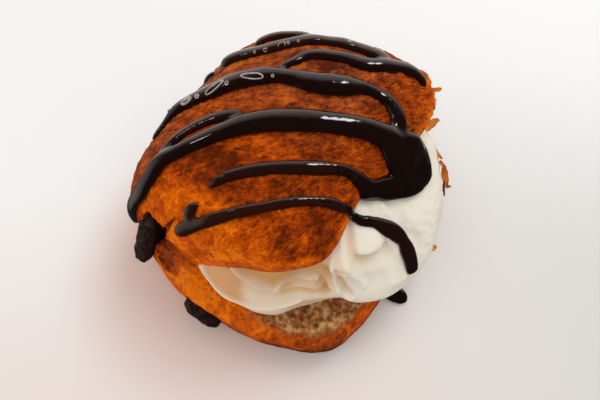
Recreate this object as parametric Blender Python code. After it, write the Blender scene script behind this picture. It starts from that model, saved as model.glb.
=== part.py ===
"""A split pain au chocolat, opened like a clam shell, filled with whipped cream and striped with sauce.

The pastry is one slab folded over its uncut side. Its cross-section is given at stations that run
from the lip of the lower half, round the uncut side, to the lip of the raised lid. Each station has
three points: on the outer crust, on the rim where the two faces meet, and on the cut face.
Sizes are in millimetres until a mesh is made, along three directions: along the roll's axis,
across it from the uncut side to the open side, and up.
"""

import math

import bmesh
import bpy
import numpy as np
from mathutils import Vector, noise

MM = 0.001
ROLL_ANGLE = math.radians(57)  # the roll's axis, turned from +X towards +Y
GAP = 0.3  # clearance round the chocolate batons
CLEAR = 0.45  # clearance between pastry and cream
CRUST = (0.33, 0.11, 0.02)  # plain colours of the solids
CREAM_WHITE = (0.72, 0.64, 0.53)
CHOCOLATE = (0.05, 0.02, 0.012)

# crust (across, up), rim (across, up), cut face (across, up), near end, far end, corner squareness
SECTION = np.array((
    (41.5, -0.4, 43.0, 9.0, 40.5, 19.5, -48.5, 41, 3.6),
    (35.0, -0.4, 34.0, 9.0, 34.0, 19.5, -50.5, 42, 3.6),
    (18.0, -0.4, 18.0, 10.0, 18.0, 19.3, -52, 44, 4.0),
    (-4.0, -0.4, -3.0, 13.0, -1.0, 18.8, -52.5, 43, 5.0),
    (-27.0, -0.4, -10.0, 16.5, -7.5, 18.5, -50.5, 38, 5.0),
    (-40.5, 16, -13.0, 19.5, -10.5, 20.0, -45, 33, 5.0),
    (-38.0, 39, -9.0, 23.5, -6.5, 22.0, -44, 33.5, 5.0),
    (-19.0, 50, -3.0, 30.0, 0.0, 26.0, -43, 40, 4.5),
    (4.0, 53, 5.0, 37.0, 7.0, 31.0, -41, 43, 4.8),
    (18.0, 51.5, 17.0, 41.5, 16.0, 36.0, -38.5, 41.5, 5.4),
    (27.0, 49, 28.0, 43.0, 25.0, 39.5, -36.5, 41.5, 5.0),
), dtype=float)
LIP_WAVE = np.array(((1.5,), (-0.3,), (-2.2,), (-3.4,), (-0.8,), (0.3,), (1.2,), (2.2,), (3.0,)))  # how far the lid's lip juts, near to far
CRUST_ROUND = (6.0, 2.8)  # how square the crust's edge is, on the lower half and on the lid
CUT_ROUND = (3.4, 4.0)
SLAB_GRID = (44, 26)  # faces round the section and along the roll
BUMPS = ((11.0, 0.55), (5.0, 0.22))  # the crust's relief: width, height
CRAG = 1.6  # how far the crags of the lid's torn far corner stick out
TORN_CORNER = ((40.0, 19.0, 44.0), 17.0)  # its middle in world directions, and its radius

CREAM_MIDDLE = (0.0, 14.0)  # along, across
CREAM_LEVELS = np.array(((17.0,), (20.0,), (24.0,), (28.0,), (32.0,), (36.0,), (40.0,), (45.0,)))
# distance of the cream's surface from its middle at each level; the rows start at the open side
# and go round by way of the near end, every 30 degrees
CREAM = np.array((
    (24, 31, 33.5, 33.5, 31, 26, 17, 1),
    (26, 34, 37, 35, 31, 27, 20, 1),
    (30, 34, 37, 36, 33, 32, 28, 1),
    (41, 44.5, 45.5, 44, 41, 37, 31, 1),
    (44, 47.5, 48.5, 46, 43, 38, 32, 1),
    (34, 34, 34, 34, 34, 34, 30, 1),
    (24, 24, 24, 24, 24, 24, 20, 1),
    (30, 30, 30, 30, 30, 30, 25, 1),
    (36, 37, 37, 36, 36, 35, 30, 1),
    (36, 37, 37, 37, 36, 35, 30, 1),
    (30, 33, 34, 34, 33, 31, 26, 1),
    (24, 30, 32, 32, 31, 28, 20, 1),
), dtype=float)
CREAM_GRID = (18, 46)  # faces up and round
CREAM_LUMPS = ((12.0, 0.8), (6.0, 0.35))
# hollows between the cream's folds: depth, width, then places up and round
FOLDS = (
    (4.2, 3.2, ((0.86, 0.300), (0.74, 0.275), (0.70, 0.255), (0.72, 0.232), (0.76, 0.212), (0.74, 0.190), (0.68, 0.180))),
    (2.6, 1.7, ((0.88, 0.145), (0.85, 0.147), (0.77, 0.138), (0.72, 0.122), (0.70, 0.100), (0.70, 0.080))),
    (2.4, 3.6, ((0.30, 0.205), (0.30, 0.182), (0.30, 0.160))),
    (1.6, 2.4, ((0.86, 0.02), (0.72, 0.035), (0.60, 0.03))),
)
CREAM_UNIT = (28.0, 230.0)  # millimetres in one unit of the cream's two places

# centre across and up, width, thickness, tilt, near end, far end, how much wider the near end has spread
BATONS = (
    (-28.2, 13.0, 13.4, 6.2, 80, -47.2, 31.0, 15.0),
    (-2.8, 7.4, 13.5, 5.6, -14, -55.8, 45.0, 0.0),
)

# sauce on the crust: place round the slab, place along the roll, width of the strand
STRANDS = (
    ((0.21, 0.19, 2.0), (0.23, 0.25, 2.2), (0.24, 0.29, 1.6)),
    ((0.29, 0.60, 2.6), (0.31, 0.72, 3.4), (0.36, 0.77, 3.4), (0.42, 0.75, 2.4)),
    ((0.26, 0.33, 3.2), (0.26, 0.40, 4.2), (0.33, 0.48, 3.6), (0.39, 0.60, 3.8), (0.45, 0.72, 4.2),
     (0.53, 0.78, 4.4), (0.60, 0.78, 3.8), (0.67, 0.78, 2.6)),
    ((0.43, 0.30, 2.0), (0.45, 0.42, 2.6), (0.47, 0.53, 3.2), (0.54, 0.60, 3.4), (0.61, 0.63, 4.2),
     (0.68, 0.74, 4.2), (0.75, 0.83, 3.9), (0.81, 0.84, 2.8), (0.86, 0.79, 1.6)),
    ((0.20, -0.44, 2.6), (0.20, -0.28, 3.4), (0.23, -0.14, 4.6), (0.31, 0.02, 5.4), (0.38, 0.17, 5.6),
     (0.46, 0.26, 4.5), (0.54, 0.30, 6.4), (0.60, 0.36, 6.4), (0.66, 0.44, 3.2), (0.74, 0.47, 3.0),
     (0.80, 0.46, 3.2), (0.86, 0.39, 3.8), (0.90, 0.30, 4.8), (0.95, 0.24, 6.4)),
    ((0.05, -0.94, 2.8), (0.16, -0.93, 3.4), (0.255, -0.865, 3.8), (0.295, -0.76, 4.0), (0.315, -0.64, 4.2), (0.36, -0.51, 3.9),
     (0.41, -0.36, 4.3), (0.48, -0.16, 6.2), (0.58, -0.01, 6.2), (0.74, 0.145, 5.8), (0.84, 0.20, 6.6), (0.93, 0.20, 7.8)),
    ((0.30, -0.60, 2.2), (0.32, -0.44, 2.9), (0.36, -0.27, 3.0), (0.43, -0.12, 2.9)),
    ((0.47, -0.69, 1.5), (0.51, -0.55, 2.8), (0.59, -0.40, 3.0), (0.72, -0.27, 3.3), (0.82, -0.18, 2.6),
     (0.89, -0.17, 2.8)),
    ((0.38, -0.965, 3.6), (0.42, -0.94, 3.7), (0.48, -0.88, 2.8), (0.59, -0.71, 2.5), (0.72, -0.54, 2.3),
     (0.84, -0.44, 2.3), (0.94, -0.41, 2.3)),
    ((0.44, -0.91, 2.2), (0.44, -0.85, 2.6), (0.46, -0.80, 2.0)),
)
# sauce on the cream: place up, place round, width of the strand
CREAM_STRANDS = (
    ((0.90, -0.164, 10.0), (0.885, -0.133, 11.4), (0.865, -0.106, 11.4), (0.845, -0.078, 10.6), (0.845, -0.046, 8.0),
     (0.865, -0.020, 6.4), (0.895, 0.003, 5.2), (0.92, 0.03, 4.6)),
    ((0.90, 0.122, 2.4), (0.87, 0.092, 2.8), (0.80, 0.067, 4.0), (0.73, 0.056, 3.8), (0.68, 0.052, 2.8),
     (0.64, 0.054, 3.8), (0.54, 0.055, 3.8), (0.45, 0.058, 3.2)),
)
SAUCE_RISE = 0.40  # a strand's height, for its width
SAUCE_MOST = 2.8
SINK = 0.9  # how deep a strand's underside is sunk
STRAND_SIDES = 6
# a drop at the foot: along, across, half its length and width, height
DROP = (-12.0, 44.8, 3.2, 6.3, 4.8)
# torn places where the near end's crust is missing: middle, direction, half length, half widths
TEARS = (
    ((-43.4, -23.6, 28.5), (-0.10, 0.32, 0.92), 12.0, (6.5, 4.8)),
    ((-47.4, -21.5, 14.0), (0.0, 1.0, -0.5), 4.2, (3.0, 2.6)),
)
# a crack in the near end beside the torn place: points along, across and up, and half its width
CRACK = ((-46.4, -24.0, 16.0, 1.3), (-45.6, -21.2, 26.0, 1.7), (-44.2, -18.2, 34.0, 1.3), (-41.5, -14.5, 42.5, 0.6))


def to_world(points):
    """Points in roll directions, in millimetres, as world coordinates in metres."""
    c, s = math.cos(ROLL_ANGLE), math.sin(ROLL_ANGLE)
    along, across, up = points[..., 0], points[..., 1], points[..., 2]
    return np.stack([along * c + across * s, along * s - across * c, up], -1) * MM


def spline(table, place, closed=False):
    """Catmull-Rom through the evenly spaced rows of a table, at places from 0 to 1."""
    last = len(table) - (0 if closed else 1)
    at = np.clip(place, 0, 1) * last
    i = np.minimum(at.astype(int), last - 1)
    f = (at - i)[..., None]
    if closed:
        p0, p1, p2, p3 = (table[(i + k) % last] for k in (-1, 0, 1, 2))
    else:
        p0, p1, p2, p3 = (table[np.clip(i + k, 0, last)] for k in (-1, 0, 1, 2))
    return 0.5 * (
        2 * p1 + (p2 - p0) * f + (2 * p0 - 5 * p1 + 4 * p2 - p3) * f ** 2
        + (3 * p1 - p0 - 3 * p2 + p3) * f ** 3
    )


def slab(p, e, outside=True, reach=None):
    """Points of the folded slab. p runs from lip to lip and e along the roll, both from -1 to 1."""
    place = (1 + p) / 2
    row = spline(SECTION, place)
    if reach is None:
        square = row[..., 8]
        reach = np.minimum((abs(p) ** square + abs(e) ** square) ** (1 / square), 1)
    face = row[..., 0:2] if outside else row[..., 4:6]
    low, high = CRUST_ROUND if outside else CUT_ROUND
    square = low + (high - low) * np.clip(2.5 * place - 0.9, 0, 1)
    full = np.maximum(1 - reach ** square, 0) ** (1 / square)
    rim = row[..., 2:4]
    near, far = row[..., 6], row[..., 7]
    along = (near + far) / 2 + (far - near) / 2 * e
    points = np.concatenate([along[..., None], rim + (face - rim) * full[..., None]], -1)
    points[..., 1] += spline(LIP_WAVE, (1 + e) / 2)[..., 0] * np.clip(3.5 * place - 2.5, 0, 1)
    points[..., 2] = np.maximum(points[..., 2], 0)
    return to_world(points)


def slab_grid(a, b, outside):
    """The slab over a square of places, drawn in so that the square's edge becomes the rim."""
    reach = np.maximum(abs(a), abs(b))
    square = spline(SECTION, (1 + a) / 2)[..., 8]
    shrink = reach / np.maximum((abs(a) ** square + abs(b) ** square) ** (1 / square), 1e-9)
    return slab(a * shrink, b * shrink, outside, reach)


def distance_to(stops, height, turn):
    """How far places on the cream lie from a line of stops, in millimetres."""
    place = np.stack([height * CREAM_UNIT[0], ((turn + 0.5) % 1 - 0.5) * CREAM_UNIT[1]], -1)
    line = spline(np.array(stops), np.linspace(0, 1, 4 * len(stops))) * CREAM_UNIT
    nearest = np.full(height.shape, 1e3)
    for start, end in zip(line, line[1:]):
        along = np.clip(((place - start) @ (end - start)) / ((end - start) @ (end - start)), 0, 1)
        nearest = np.minimum(nearest, np.linalg.norm(place - start - along[..., None] * (end - start), axis=-1))
    return nearest


def cream(height, turn):
    """Points of the cream's surface. height goes up and turn goes round, both from 0 to 1."""
    by_turn = spline(CREAM, turn % 1, closed=True)
    last = by_turn.shape[-1] - 1
    at = np.clip(height, 0, 1) * last
    i = np.minimum(at.astype(int), last - 1)
    f = at - i
    p0, p1, p2, p3 = (
        np.take_along_axis(by_turn, np.clip(i + k, 0, last)[..., None], -1)[..., 0] for k in (-1, 0, 1, 2)
    )
    radius = 0.5 * (
        2 * p1 + (p2 - p0) * f + (2 * p0 - 5 * p1 + 4 * p2 - p3) * f ** 2
        + (3 * p1 - p0 - 3 * p2 + p3) * f ** 3
    )
    for depth, width, stops in FOLDS:
        radius = radius - depth * np.exp(-(distance_to(stops, height, turn) / width) ** 2)
    up = spline(CREAM_LEVELS, height)[..., 0]
    angle = 2 * math.pi * turn
    return to_world(np.stack([
        CREAM_MIDDLE[0] - radius * np.sin(angle), CREAM_MIDDLE[1] + radius * np.cos(angle), up
    ], -1))


def clustered(count):
    """Places from -1 to 1 that lie closer together near both ends."""
    even = np.linspace(-1, 1, count + 1)
    return even * (1.38 - 0.38 * even ** 2)


def new_object(mesh, name, colour=None):
    """Turn the faces outwards and link the mesh as an object, with a plain material if it has a colour."""
    mesh.normal_update()
    bmesh.ops.recalc_face_normals(mesh, faces=mesh.faces)
    data = bpy.data.meshes.new(name)
    mesh.to_mesh(data)
    mesh.free()
    made = bpy.data.objects.new(name, data)
    bpy.context.scene.collection.objects.link(made)
    if colour:
        look = bpy.data.materials.new(name)
        look.use_nodes = True
        surface = look.node_tree.nodes["Principled BSDF"]
        surface.inputs["Base Color"].default_value = (*colour, 1)
        surface.inputs["Roughness"].default_value = 0.5
        data.materials.append(look)
    return made


def push_out(mesh, amount):
    """Move each vertex along its normal by amount(place in mm), in millimetres."""
    mesh.normal_update()
    moves = [vertex.normal * (amount(vertex.co / MM) * MM) for vertex in mesh.verts]
    for vertex, move in zip(mesh.verts, moves):
        vertex.co += move
        vertex.co.z = max(vertex.co.z, 0.0)


def rough(place, layers):
    return sum(height * noise.noise(place / width) for width, height in layers)


def torn_corner(place):
    """1 at the middle of the lid's torn far corner, falling to 0 round it."""
    middle, radius = TORN_CORNER
    return max(0.0, 1 - (place - Vector(middle)).length / radius) ** 0.5


def crust_relief(place):
    """The crust's bumps, none on the face it rests on, and crags where the lid's far corner is torn."""
    crag = CRAG * torn_corner(place) * noise.noise(place / 3.1)
    return (rough(place, BUMPS) + crag) * min(1.0, max(0.0, place.z / 4))


def slab_mesh(grow=0.0):
    """The pastry as two grids of faces, crust and cut, that share their rim."""
    mesh = bmesh.new()
    round_count, along_count = SLAB_GRID
    a, b = np.meshgrid(clustered(round_count), clustered(along_count), indexing="ij")
    rim = {}

    def vertex(points, i, j):
        on_rim = i in (0, round_count) or j in (0, along_count)
        if on_rim and (i, j) in rim:
            return rim[i, j]
        made = mesh.verts.new(points[i, j])
        if on_rim:
            rim[i, j] = made
        return made

    for outside in (True, False):
        points = slab_grid(a, b, outside)
        grid = [[vertex(points, i, j) for j in range(along_count + 1)] for i in range(round_count + 1)]
        for i in range(round_count):
            for j in range(along_count):
                mesh.faces.new((grid[i][j], grid[i + 1][j], grid[i + 1][j + 1], grid[i][j + 1]))
    bmesh.ops.recalc_face_normals(mesh, faces=mesh.faces)
    push_out(mesh, lambda place: crust_relief(place) + grow * (1 + 2 * torn_corner(place)))
    return mesh


def cream_mesh():
    """The cream as rings of faces stacked from its foot to its top."""
    up_count, round_count = CREAM_GRID
    even = np.arange(round_count) / round_count
    turn = even - 0.11 * np.sin(2 * math.pi * (even - 0.1))  # finer on the open side
    height, turn = np.meshgrid(np.linspace(0, 1, up_count + 1), turn, indexing="ij")
    mesh = bmesh.new()
    rings = [[mesh.verts.new(point) for point in ring] for ring in cream(height, turn)]
    for low, high in zip(rings, rings[1:]):
        for k in range(round_count):
            mesh.faces.new((low[k - 1], low[k], high[k], high[k - 1]))
    mesh.faces.new(rings[0])
    mesh.faces.new(rings[-1])
    bmesh.ops.recalc_face_normals(mesh, faces=mesh.faces)
    push_out(mesh, lambda place: rough(place, CREAM_LUMPS))
    return mesh


def tube_mesh(rings):
    """A closed tube through rings of points, its ends closed by fans."""
    mesh = bmesh.new()
    made = [[mesh.verts.new(point) for point in ring] for ring in rings]
    for low, high in zip(made, made[1:]):
        for k in range(len(low)):
            mesh.faces.new((low[k - 1], low[k], high[k], high[k - 1]))
    for ring in (made[0], made[-1]):
        tip = mesh.verts.new(sum((v.co for v in ring), Vector()) / len(ring))
        for k in range(len(ring)):
            mesh.faces.new((ring[k - 1], ring[k], tip))
    return mesh


def strand_mesh(surface, stops, grow=0.0, per_stop=2):
    """A rounded strand of sauce laid along the stops on a surface, sunk a little into it."""
    stops = np.array(stops)
    count = per_stop * (len(stops) - 1)
    place = spline(stops, np.linspace(0, 1, count + 1))
    u, v, width = place.T
    step = 1e-3
    middle = surface(u, v)
    side_u, side_v = surface(u + step, v) - surface(u - step, v), surface(u, v + step) - surface(u, v - step)
    normal = np.cross(side_u, side_v)
    normal /= np.linalg.norm(normal, axis=1)[:, None]
    ahead = np.gradient(middle, axis=0)
    across = np.cross(ahead, normal)
    across /= np.linalg.norm(across, axis=1)[:, None]
    ahead /= np.linalg.norm(ahead, axis=1)[:, None]
    half = width / 2 * MM
    # two more rings at each end round it off
    def with_ends(values, first, last):
        return np.concatenate([first, values, last])
    ring_middle = with_ends(
        middle,
        np.stack([middle[0] - ahead[0] * (half[0] * k + grow * MM) for k in (0.9, 0.6)]),
        np.stack([middle[-1] + ahead[-1] * (half[-1] * k + grow * MM) for k in (0.6, 0.9)]),
    )
    doubled = [np.concatenate([d[:1], d[:1], d, d[-1:], d[-1:]]) for d in (across, normal)]
    scale = with_ends(half, half[0] * np.array((0.4, 0.8)), half[-1] * np.array((0.8, 0.4)))
    rise = np.minimum(scale * 2 * SAUCE_RISE, SAUCE_MOST * MM)
    rings = []
    for p, side, up, w, h in zip(ring_middle, *doubled, scale, rise):
        ring = []
        for k in range(STRAND_SIDES):
            turn = 2 * math.pi * k / STRAND_SIDES
            lift = math.sin(turn) * ((h if math.sin(turn) > 0 else SINK * MM) + grow * MM)
            ring.append(Vector(p + side * math.cos(turn) * (w + grow * MM) + up * lift))
        rings.append(ring)
    return tube_mesh(rings)


def baton_mesh(across, up, width, thick, tilt, near, far, flare, grow=0.0):
    """A bar of chocolate with rounded, slightly uneven ends that show at both ends of the roll."""
    rings = []
    for along in np.concatenate([near + np.array((0.0, 0.5, 1.6, 4.0)), np.linspace(near + 12, far - 10, 6),
                                 far - np.array((4.0, 1.6, 0.5, 0.0))]):
        edge = min(along - near, far - along)
        size = math.sqrt(1 - max(0.0, 1 - edge / 2.2) ** 2 * 0.75)
        spread = flare * max(0.0, 1 - (along - near) / 12)
        ring = []
        for k in range(14):
            turn = 2 * math.pi * k / 14
            c, s = math.cos(turn), math.sin(turn)
            round_x = math.copysign(abs(c) ** 0.6, c) * ((width + spread) / 2 * size + grow)
            round_y = math.copysign(abs(s) ** 0.6, s) * (thick / 2 * size + grow)
            lean = math.radians(tilt)
            ring.append(Vector(to_world(np.array((
                along - math.copysign(grow, near + far - 2 * along) * (edge < 0.1) + 0.03 * spread * round_x,
                across + round_x * math.cos(lean) + round_y * math.sin(lean),
                up + 0.55 * spread + round_x * math.sin(lean) - round_y * math.cos(lean),
            )))))
        rings.append(ring)
    return tube_mesh(rings)


def drop_mesh():
    """A pointed drop of sauce standing on the plate against the foot of the pastry."""
    along, across, half_along, half_across, height = DROP
    rings = []
    for k in range(7):
        rise = k / 6
        size = (1 - rise) ** 0.55 * (0.88 + 0.12 * math.sin(math.pi * rise)) + 0.06
        rings.append([
            Vector(to_world(np.array((
                along + size * half_along * math.cos(turn), across + size * half_across * math.sin(turn),
                rise * height,
            )))) for turn in np.arange(14) * math.pi / 7
        ])
    return tube_mesh(rings)


def tear_mesh(middle, direction, length, widths):
    """A long lumpy ball that takes away a torn patch of crust."""
    mesh = bmesh.new()
    bmesh.ops.create_icosphere(mesh, subdivisions=2, radius=1)
    ahead = np.array(direction) / np.linalg.norm(direction)
    side = np.cross(ahead, (1.0, 0.0, 0.0))
    side /= np.linalg.norm(side)
    axes = np.stack([np.cross(side, ahead) * widths[0], side * widths[1], ahead * length])
    for vertex in mesh.verts:
        place = np.array(vertex.co) @ axes * (1 + 0.25 * noise.noise(vertex.co * 1.7 + Vector(middle)))
        vertex.co = Vector(to_world(place + np.array(middle)))
    return mesh


def crack_mesh():
    """A thin tapering cutter that opens the crack."""
    rings = []
    for along, across, up, half in spline(np.array(CRACK), np.linspace(0, 1, 8)):
        rings.append([
            Vector(to_world(np.array((along + 2.4 * math.cos(turn), across + half * math.sin(turn), up))))
            for turn in np.arange(6) * math.pi / 3
        ])
    return tube_mesh(rings)


def combine(target, operation, tools):
    """Join or cut the tools with the target in one Boolean, then remove them."""
    group = bpy.data.collections.new("tools")
    for tool in tools:
        group.objects.link(tool)
    change = target.modifiers.new("combine", "BOOLEAN")
    change.operation = operation
    change.operand_type = "COLLECTION"
    change.collection = group
    change.solver = "MANIFOLD"
    depsgraph = bpy.context.evaluated_depsgraph_get()
    result = bpy.data.meshes.new_from_object(target.evaluated_get(depsgraph))
    target.modifiers.remove(change)
    target.data = result
    for tool in tools:
        bpy.data.objects.remove(tool)
    bpy.data.collections.remove(group)


def main():
    for old in list(bpy.data.objects):
        bpy.data.objects.remove(old)
    pastry = new_object(slab_mesh(), "pastry", CRUST)
    combine(pastry, "DIFFERENCE", [new_object(baton_mesh(*baton, grow=GAP), "channel") for baton in BATONS])
    combine(pastry, "DIFFERENCE", [new_object(tear_mesh(*tear), "tear") for tear in TEARS])
    combine(pastry, "DIFFERENCE", [new_object(crack_mesh(), "crack")])
    combine(pastry, "UNION", [new_object(strand_mesh(slab, stops), "strand") for stops in STRANDS]
            + [new_object(drop_mesh(), "drop")])
    filling = new_object(cream_mesh(), "whipped_cream", CREAM_WHITE)
    combine(filling, "UNION", [new_object(strand_mesh(cream, stops), "strand") for stops in CREAM_STRANDS])
    combine(filling, "DIFFERENCE", [new_object(slab_mesh(grow=CLEAR), "clearance")]
            + [new_object(strand_mesh(slab, stops, grow=CLEAR), "clearance") for stops in STRANDS])
    for number, baton in enumerate(BATONS, 1):
        new_object(baton_mesh(*baton), f"chocolate_baton_{number}", CHOCOLATE)


main()
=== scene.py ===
"""Looks of a split pain au chocolat: browned flaky crust, whipped cream, chocolate bars and sauce.

The food's shapes come from the same named sizes as its solids. Sizes are in millimetres along three
directions until a mesh is made: along the roll's axis, across it from the uncut side to the open
side, and up.
"""

import math

import bmesh
import bpy
import numpy as np
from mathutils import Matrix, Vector, kdtree, noise


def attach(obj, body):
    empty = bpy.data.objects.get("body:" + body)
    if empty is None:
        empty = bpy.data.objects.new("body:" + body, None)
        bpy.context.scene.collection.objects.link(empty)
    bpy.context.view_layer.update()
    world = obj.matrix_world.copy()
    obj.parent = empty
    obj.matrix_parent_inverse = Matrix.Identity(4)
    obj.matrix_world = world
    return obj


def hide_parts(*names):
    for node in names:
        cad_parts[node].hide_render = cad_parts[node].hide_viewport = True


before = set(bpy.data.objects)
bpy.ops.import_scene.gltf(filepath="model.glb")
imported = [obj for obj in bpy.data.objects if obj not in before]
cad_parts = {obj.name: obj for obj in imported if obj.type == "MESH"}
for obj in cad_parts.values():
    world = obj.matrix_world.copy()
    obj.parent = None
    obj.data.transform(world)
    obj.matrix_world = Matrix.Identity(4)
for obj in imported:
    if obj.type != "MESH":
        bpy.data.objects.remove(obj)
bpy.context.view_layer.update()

bl_info = {
    "name": "Pain au chocolat",
    "version": (1, 0, 0),
    "blender": (4, 5, 0),
    "location": "3D View > Sidebar > Pastry",
    "description": "Builds a split chocolate pastry with cream and sauce around its packed solids",
    "category": "Object",
}

MM = 0.001
ROLL_ANGLE = math.radians(57)  # the roll's axis, turned from +X towards +Y


def column(*values):
    """Numbers as a table of one column."""
    return np.array(values, dtype=float)[:, None]


# crust (across, up), rim (across, up), cut face (across, up), near end, far end, corner squareness
SECTION = np.array((
    (41.5, -0.4, 43.0, 9.0, 40.5, 19.5, -48.5, 41, 3.6),
    (35.0, -0.4, 34.0, 9.0, 34.0, 19.5, -50.5, 42, 3.6),
    (18.0, -0.4, 18.0, 10.0, 18.0, 19.3, -52, 44, 4.0),
    (-4.0, -0.4, -3.0, 13.0, -1.0, 18.8, -52.5, 43, 5.0),
    (-27.0, -0.4, -10.0, 16.5, -7.5, 18.5, -50.5, 38, 5.0),
    (-40.5, 16, -13.0, 19.5, -10.5, 20.0, -45, 33, 5.0),
    (-38.0, 39, -9.0, 23.5, -6.5, 22.0, -44, 33.5, 5.0),
    (-19.0, 50, -3.0, 30.0, 0.0, 26.0, -43, 40, 4.5),
    (4.0, 53, 5.0, 37.0, 7.0, 31.0, -41, 43, 4.8),
    (18.0, 51.5, 17.0, 41.5, 16.0, 36.0, -38.5, 41.5, 5.4),
    (27.0, 49, 28.0, 43.0, 25.0, 39.5, -36.5, 41.5, 5.0),
), dtype=float)
# how far the lid's lip juts, from the near end to the far end
LIP_WAVE = column(1.5, -0.3, -2.2, -3.4, -0.8, 0.3, 1.2, 2.2, 3.0)
CRUST_UNIT = (95.0, 46.0)  # millimetres in one unit of the slab's two places, round it and along it
CRUST_ROUND = (6.0, 2.8)  # how square the crust's edge is, on the lower half and on the lid
CUT_ROUND = (3.4, 4.0)
BUMPS = ((11.0, 0.55), (5.0, 0.22))  # the crust's relief: width, height
TORN_CORNER = ((40.0, 19.0, 44.0), 17.0)  # its middle in world directions, and its radius

CREAM_MIDDLE = (0.0, 14.0)  # along, across
CREAM_LEVELS = column(17, 20, 24, 28, 32, 36, 40, 45)
# distance of the cream's surface from its middle at each level; the rows start at the open side
# and go round by way of the near end, every 30 degrees
CREAM = np.array((
    (24, 31, 33.5, 33.5, 31, 26, 17, 1),
    (26, 34, 37, 35, 31, 27, 20, 1),
    (30, 34, 37, 36, 33, 32, 28, 1),
    (41, 44.5, 45.5, 44, 41, 37, 31, 1),
    (44, 47.5, 48.5, 46, 43, 38, 32, 1),
    (34, 34, 34, 34, 34, 34, 30, 1),
    (24, 24, 24, 24, 24, 24, 20, 1),
    (30, 30, 30, 30, 30, 30, 25, 1),
    (36, 37, 37, 36, 36, 35, 30, 1),
    (36, 37, 37, 37, 36, 35, 30, 1),
    (30, 33, 34, 34, 33, 31, 26, 1),
    (24, 30, 32, 32, 31, 28, 20, 1),
), dtype=float)
CREAM_LUMPS = ((12.0, 0.8), (6.0, 0.35))
# hollows (and, below zero, ridges) of the cream's folds: depth, width, then places up and round
FOLDS = (
    (4.2, 3.2, ((0.86, 0.300), (0.74, 0.275), (0.70, 0.255), (0.72, 0.232), (0.76, 0.212), (0.74, 0.190),
                (0.68, 0.180))),
    (2.6, 1.7, ((0.88, 0.145), (0.85, 0.147), (0.77, 0.138), (0.72, 0.122), (0.70, 0.100), (0.70, 0.080))),
    (2.4, 3.6, ((0.30, 0.205), (0.30, 0.182), (0.30, 0.160))),
    (1.6, 2.4, ((0.86, 0.02), (0.72, 0.035), (0.60, 0.03))),
    (0.6, 0.5, ((0.635, 0.280), (0.62, 0.271), (0.61, 0.262), (0.61, 0.250), (0.635, 0.239))),
    (0.8, 0.5, ((0.56, 0.229), (0.58, 0.211), (0.52, 0.193), (0.49, 0.174))),
    (1.8, 0.8, ((0.66, 0.195), (0.58, 0.188), (0.53, 0.182), (0.48, 0.179))),
    (1.2, 0.9, ((0.62, 0.162), (0.52, 0.155), (0.44, 0.146))),
    (0.9, 1.2, ((0.90, 0.082), (0.885, 0.068), (0.85, 0.056))),
    (-1.0, 0.7, ((0.39, 0.316), (0.36, 0.302), (0.34, 0.287), (0.34, 0.273), (0.35, 0.256), (0.40, 0.238),
                 (0.45, 0.222), (0.48, 0.207))),
    (-1.6, 0.5, ((0.66, 0.295), (0.62, 0.286), (0.59, 0.275), (0.57, 0.266), (0.56, 0.256), (0.57, 0.245),
                 (0.59, 0.232))),
    (-1.8, 0.5, ((0.60, 0.239), (0.63, 0.231), (0.66, 0.224), (0.69, 0.216), (0.69, 0.207), (0.67, 0.197),
                 (0.63, 0.193))),
    (-1.4, 0.7, ((0.83, 0.177), (0.63, 0.171), (0.57, 0.168), (0.52, 0.163))),
    (-1.5, 1.0, ((0.89, 0.164), (0.87, 0.161), (0.80, 0.152), (0.66, 0.141), (0.53, 0.128))),
    (-1.0, 1.1, ((0.43, 0.152), (0.40, 0.147))),
    (-1.2, 2.4, ((0.86, 0.115), (0.81, 0.100))),
    (-0.8, 2.6, ((0.62, 0.095), (0.52, 0.088))),
    (-0.8, 1.8, ((0.46, 0.090), (0.45, 0.072))),
)
CREAM_UNIT = (28.0, 230.0)  # millimetres in one unit of the cream's two places

# centre across and up, width, thickness, tilt, near end, far end, how much wider the near end has spread
BATONS = (
    (-28.2, 13.0, 13.4, 6.2, 80, -47.2, 31.0, 15.0),
    (-2.8, 7.4, 13.5, 5.6, -14, -55.8, 45.0, 0.0),
)
BATON_GAP = 0.3  # between a bar and the crust round it
BATON_RELIEF = ((3.2, 0.34), (1.2, 0.26))

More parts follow.
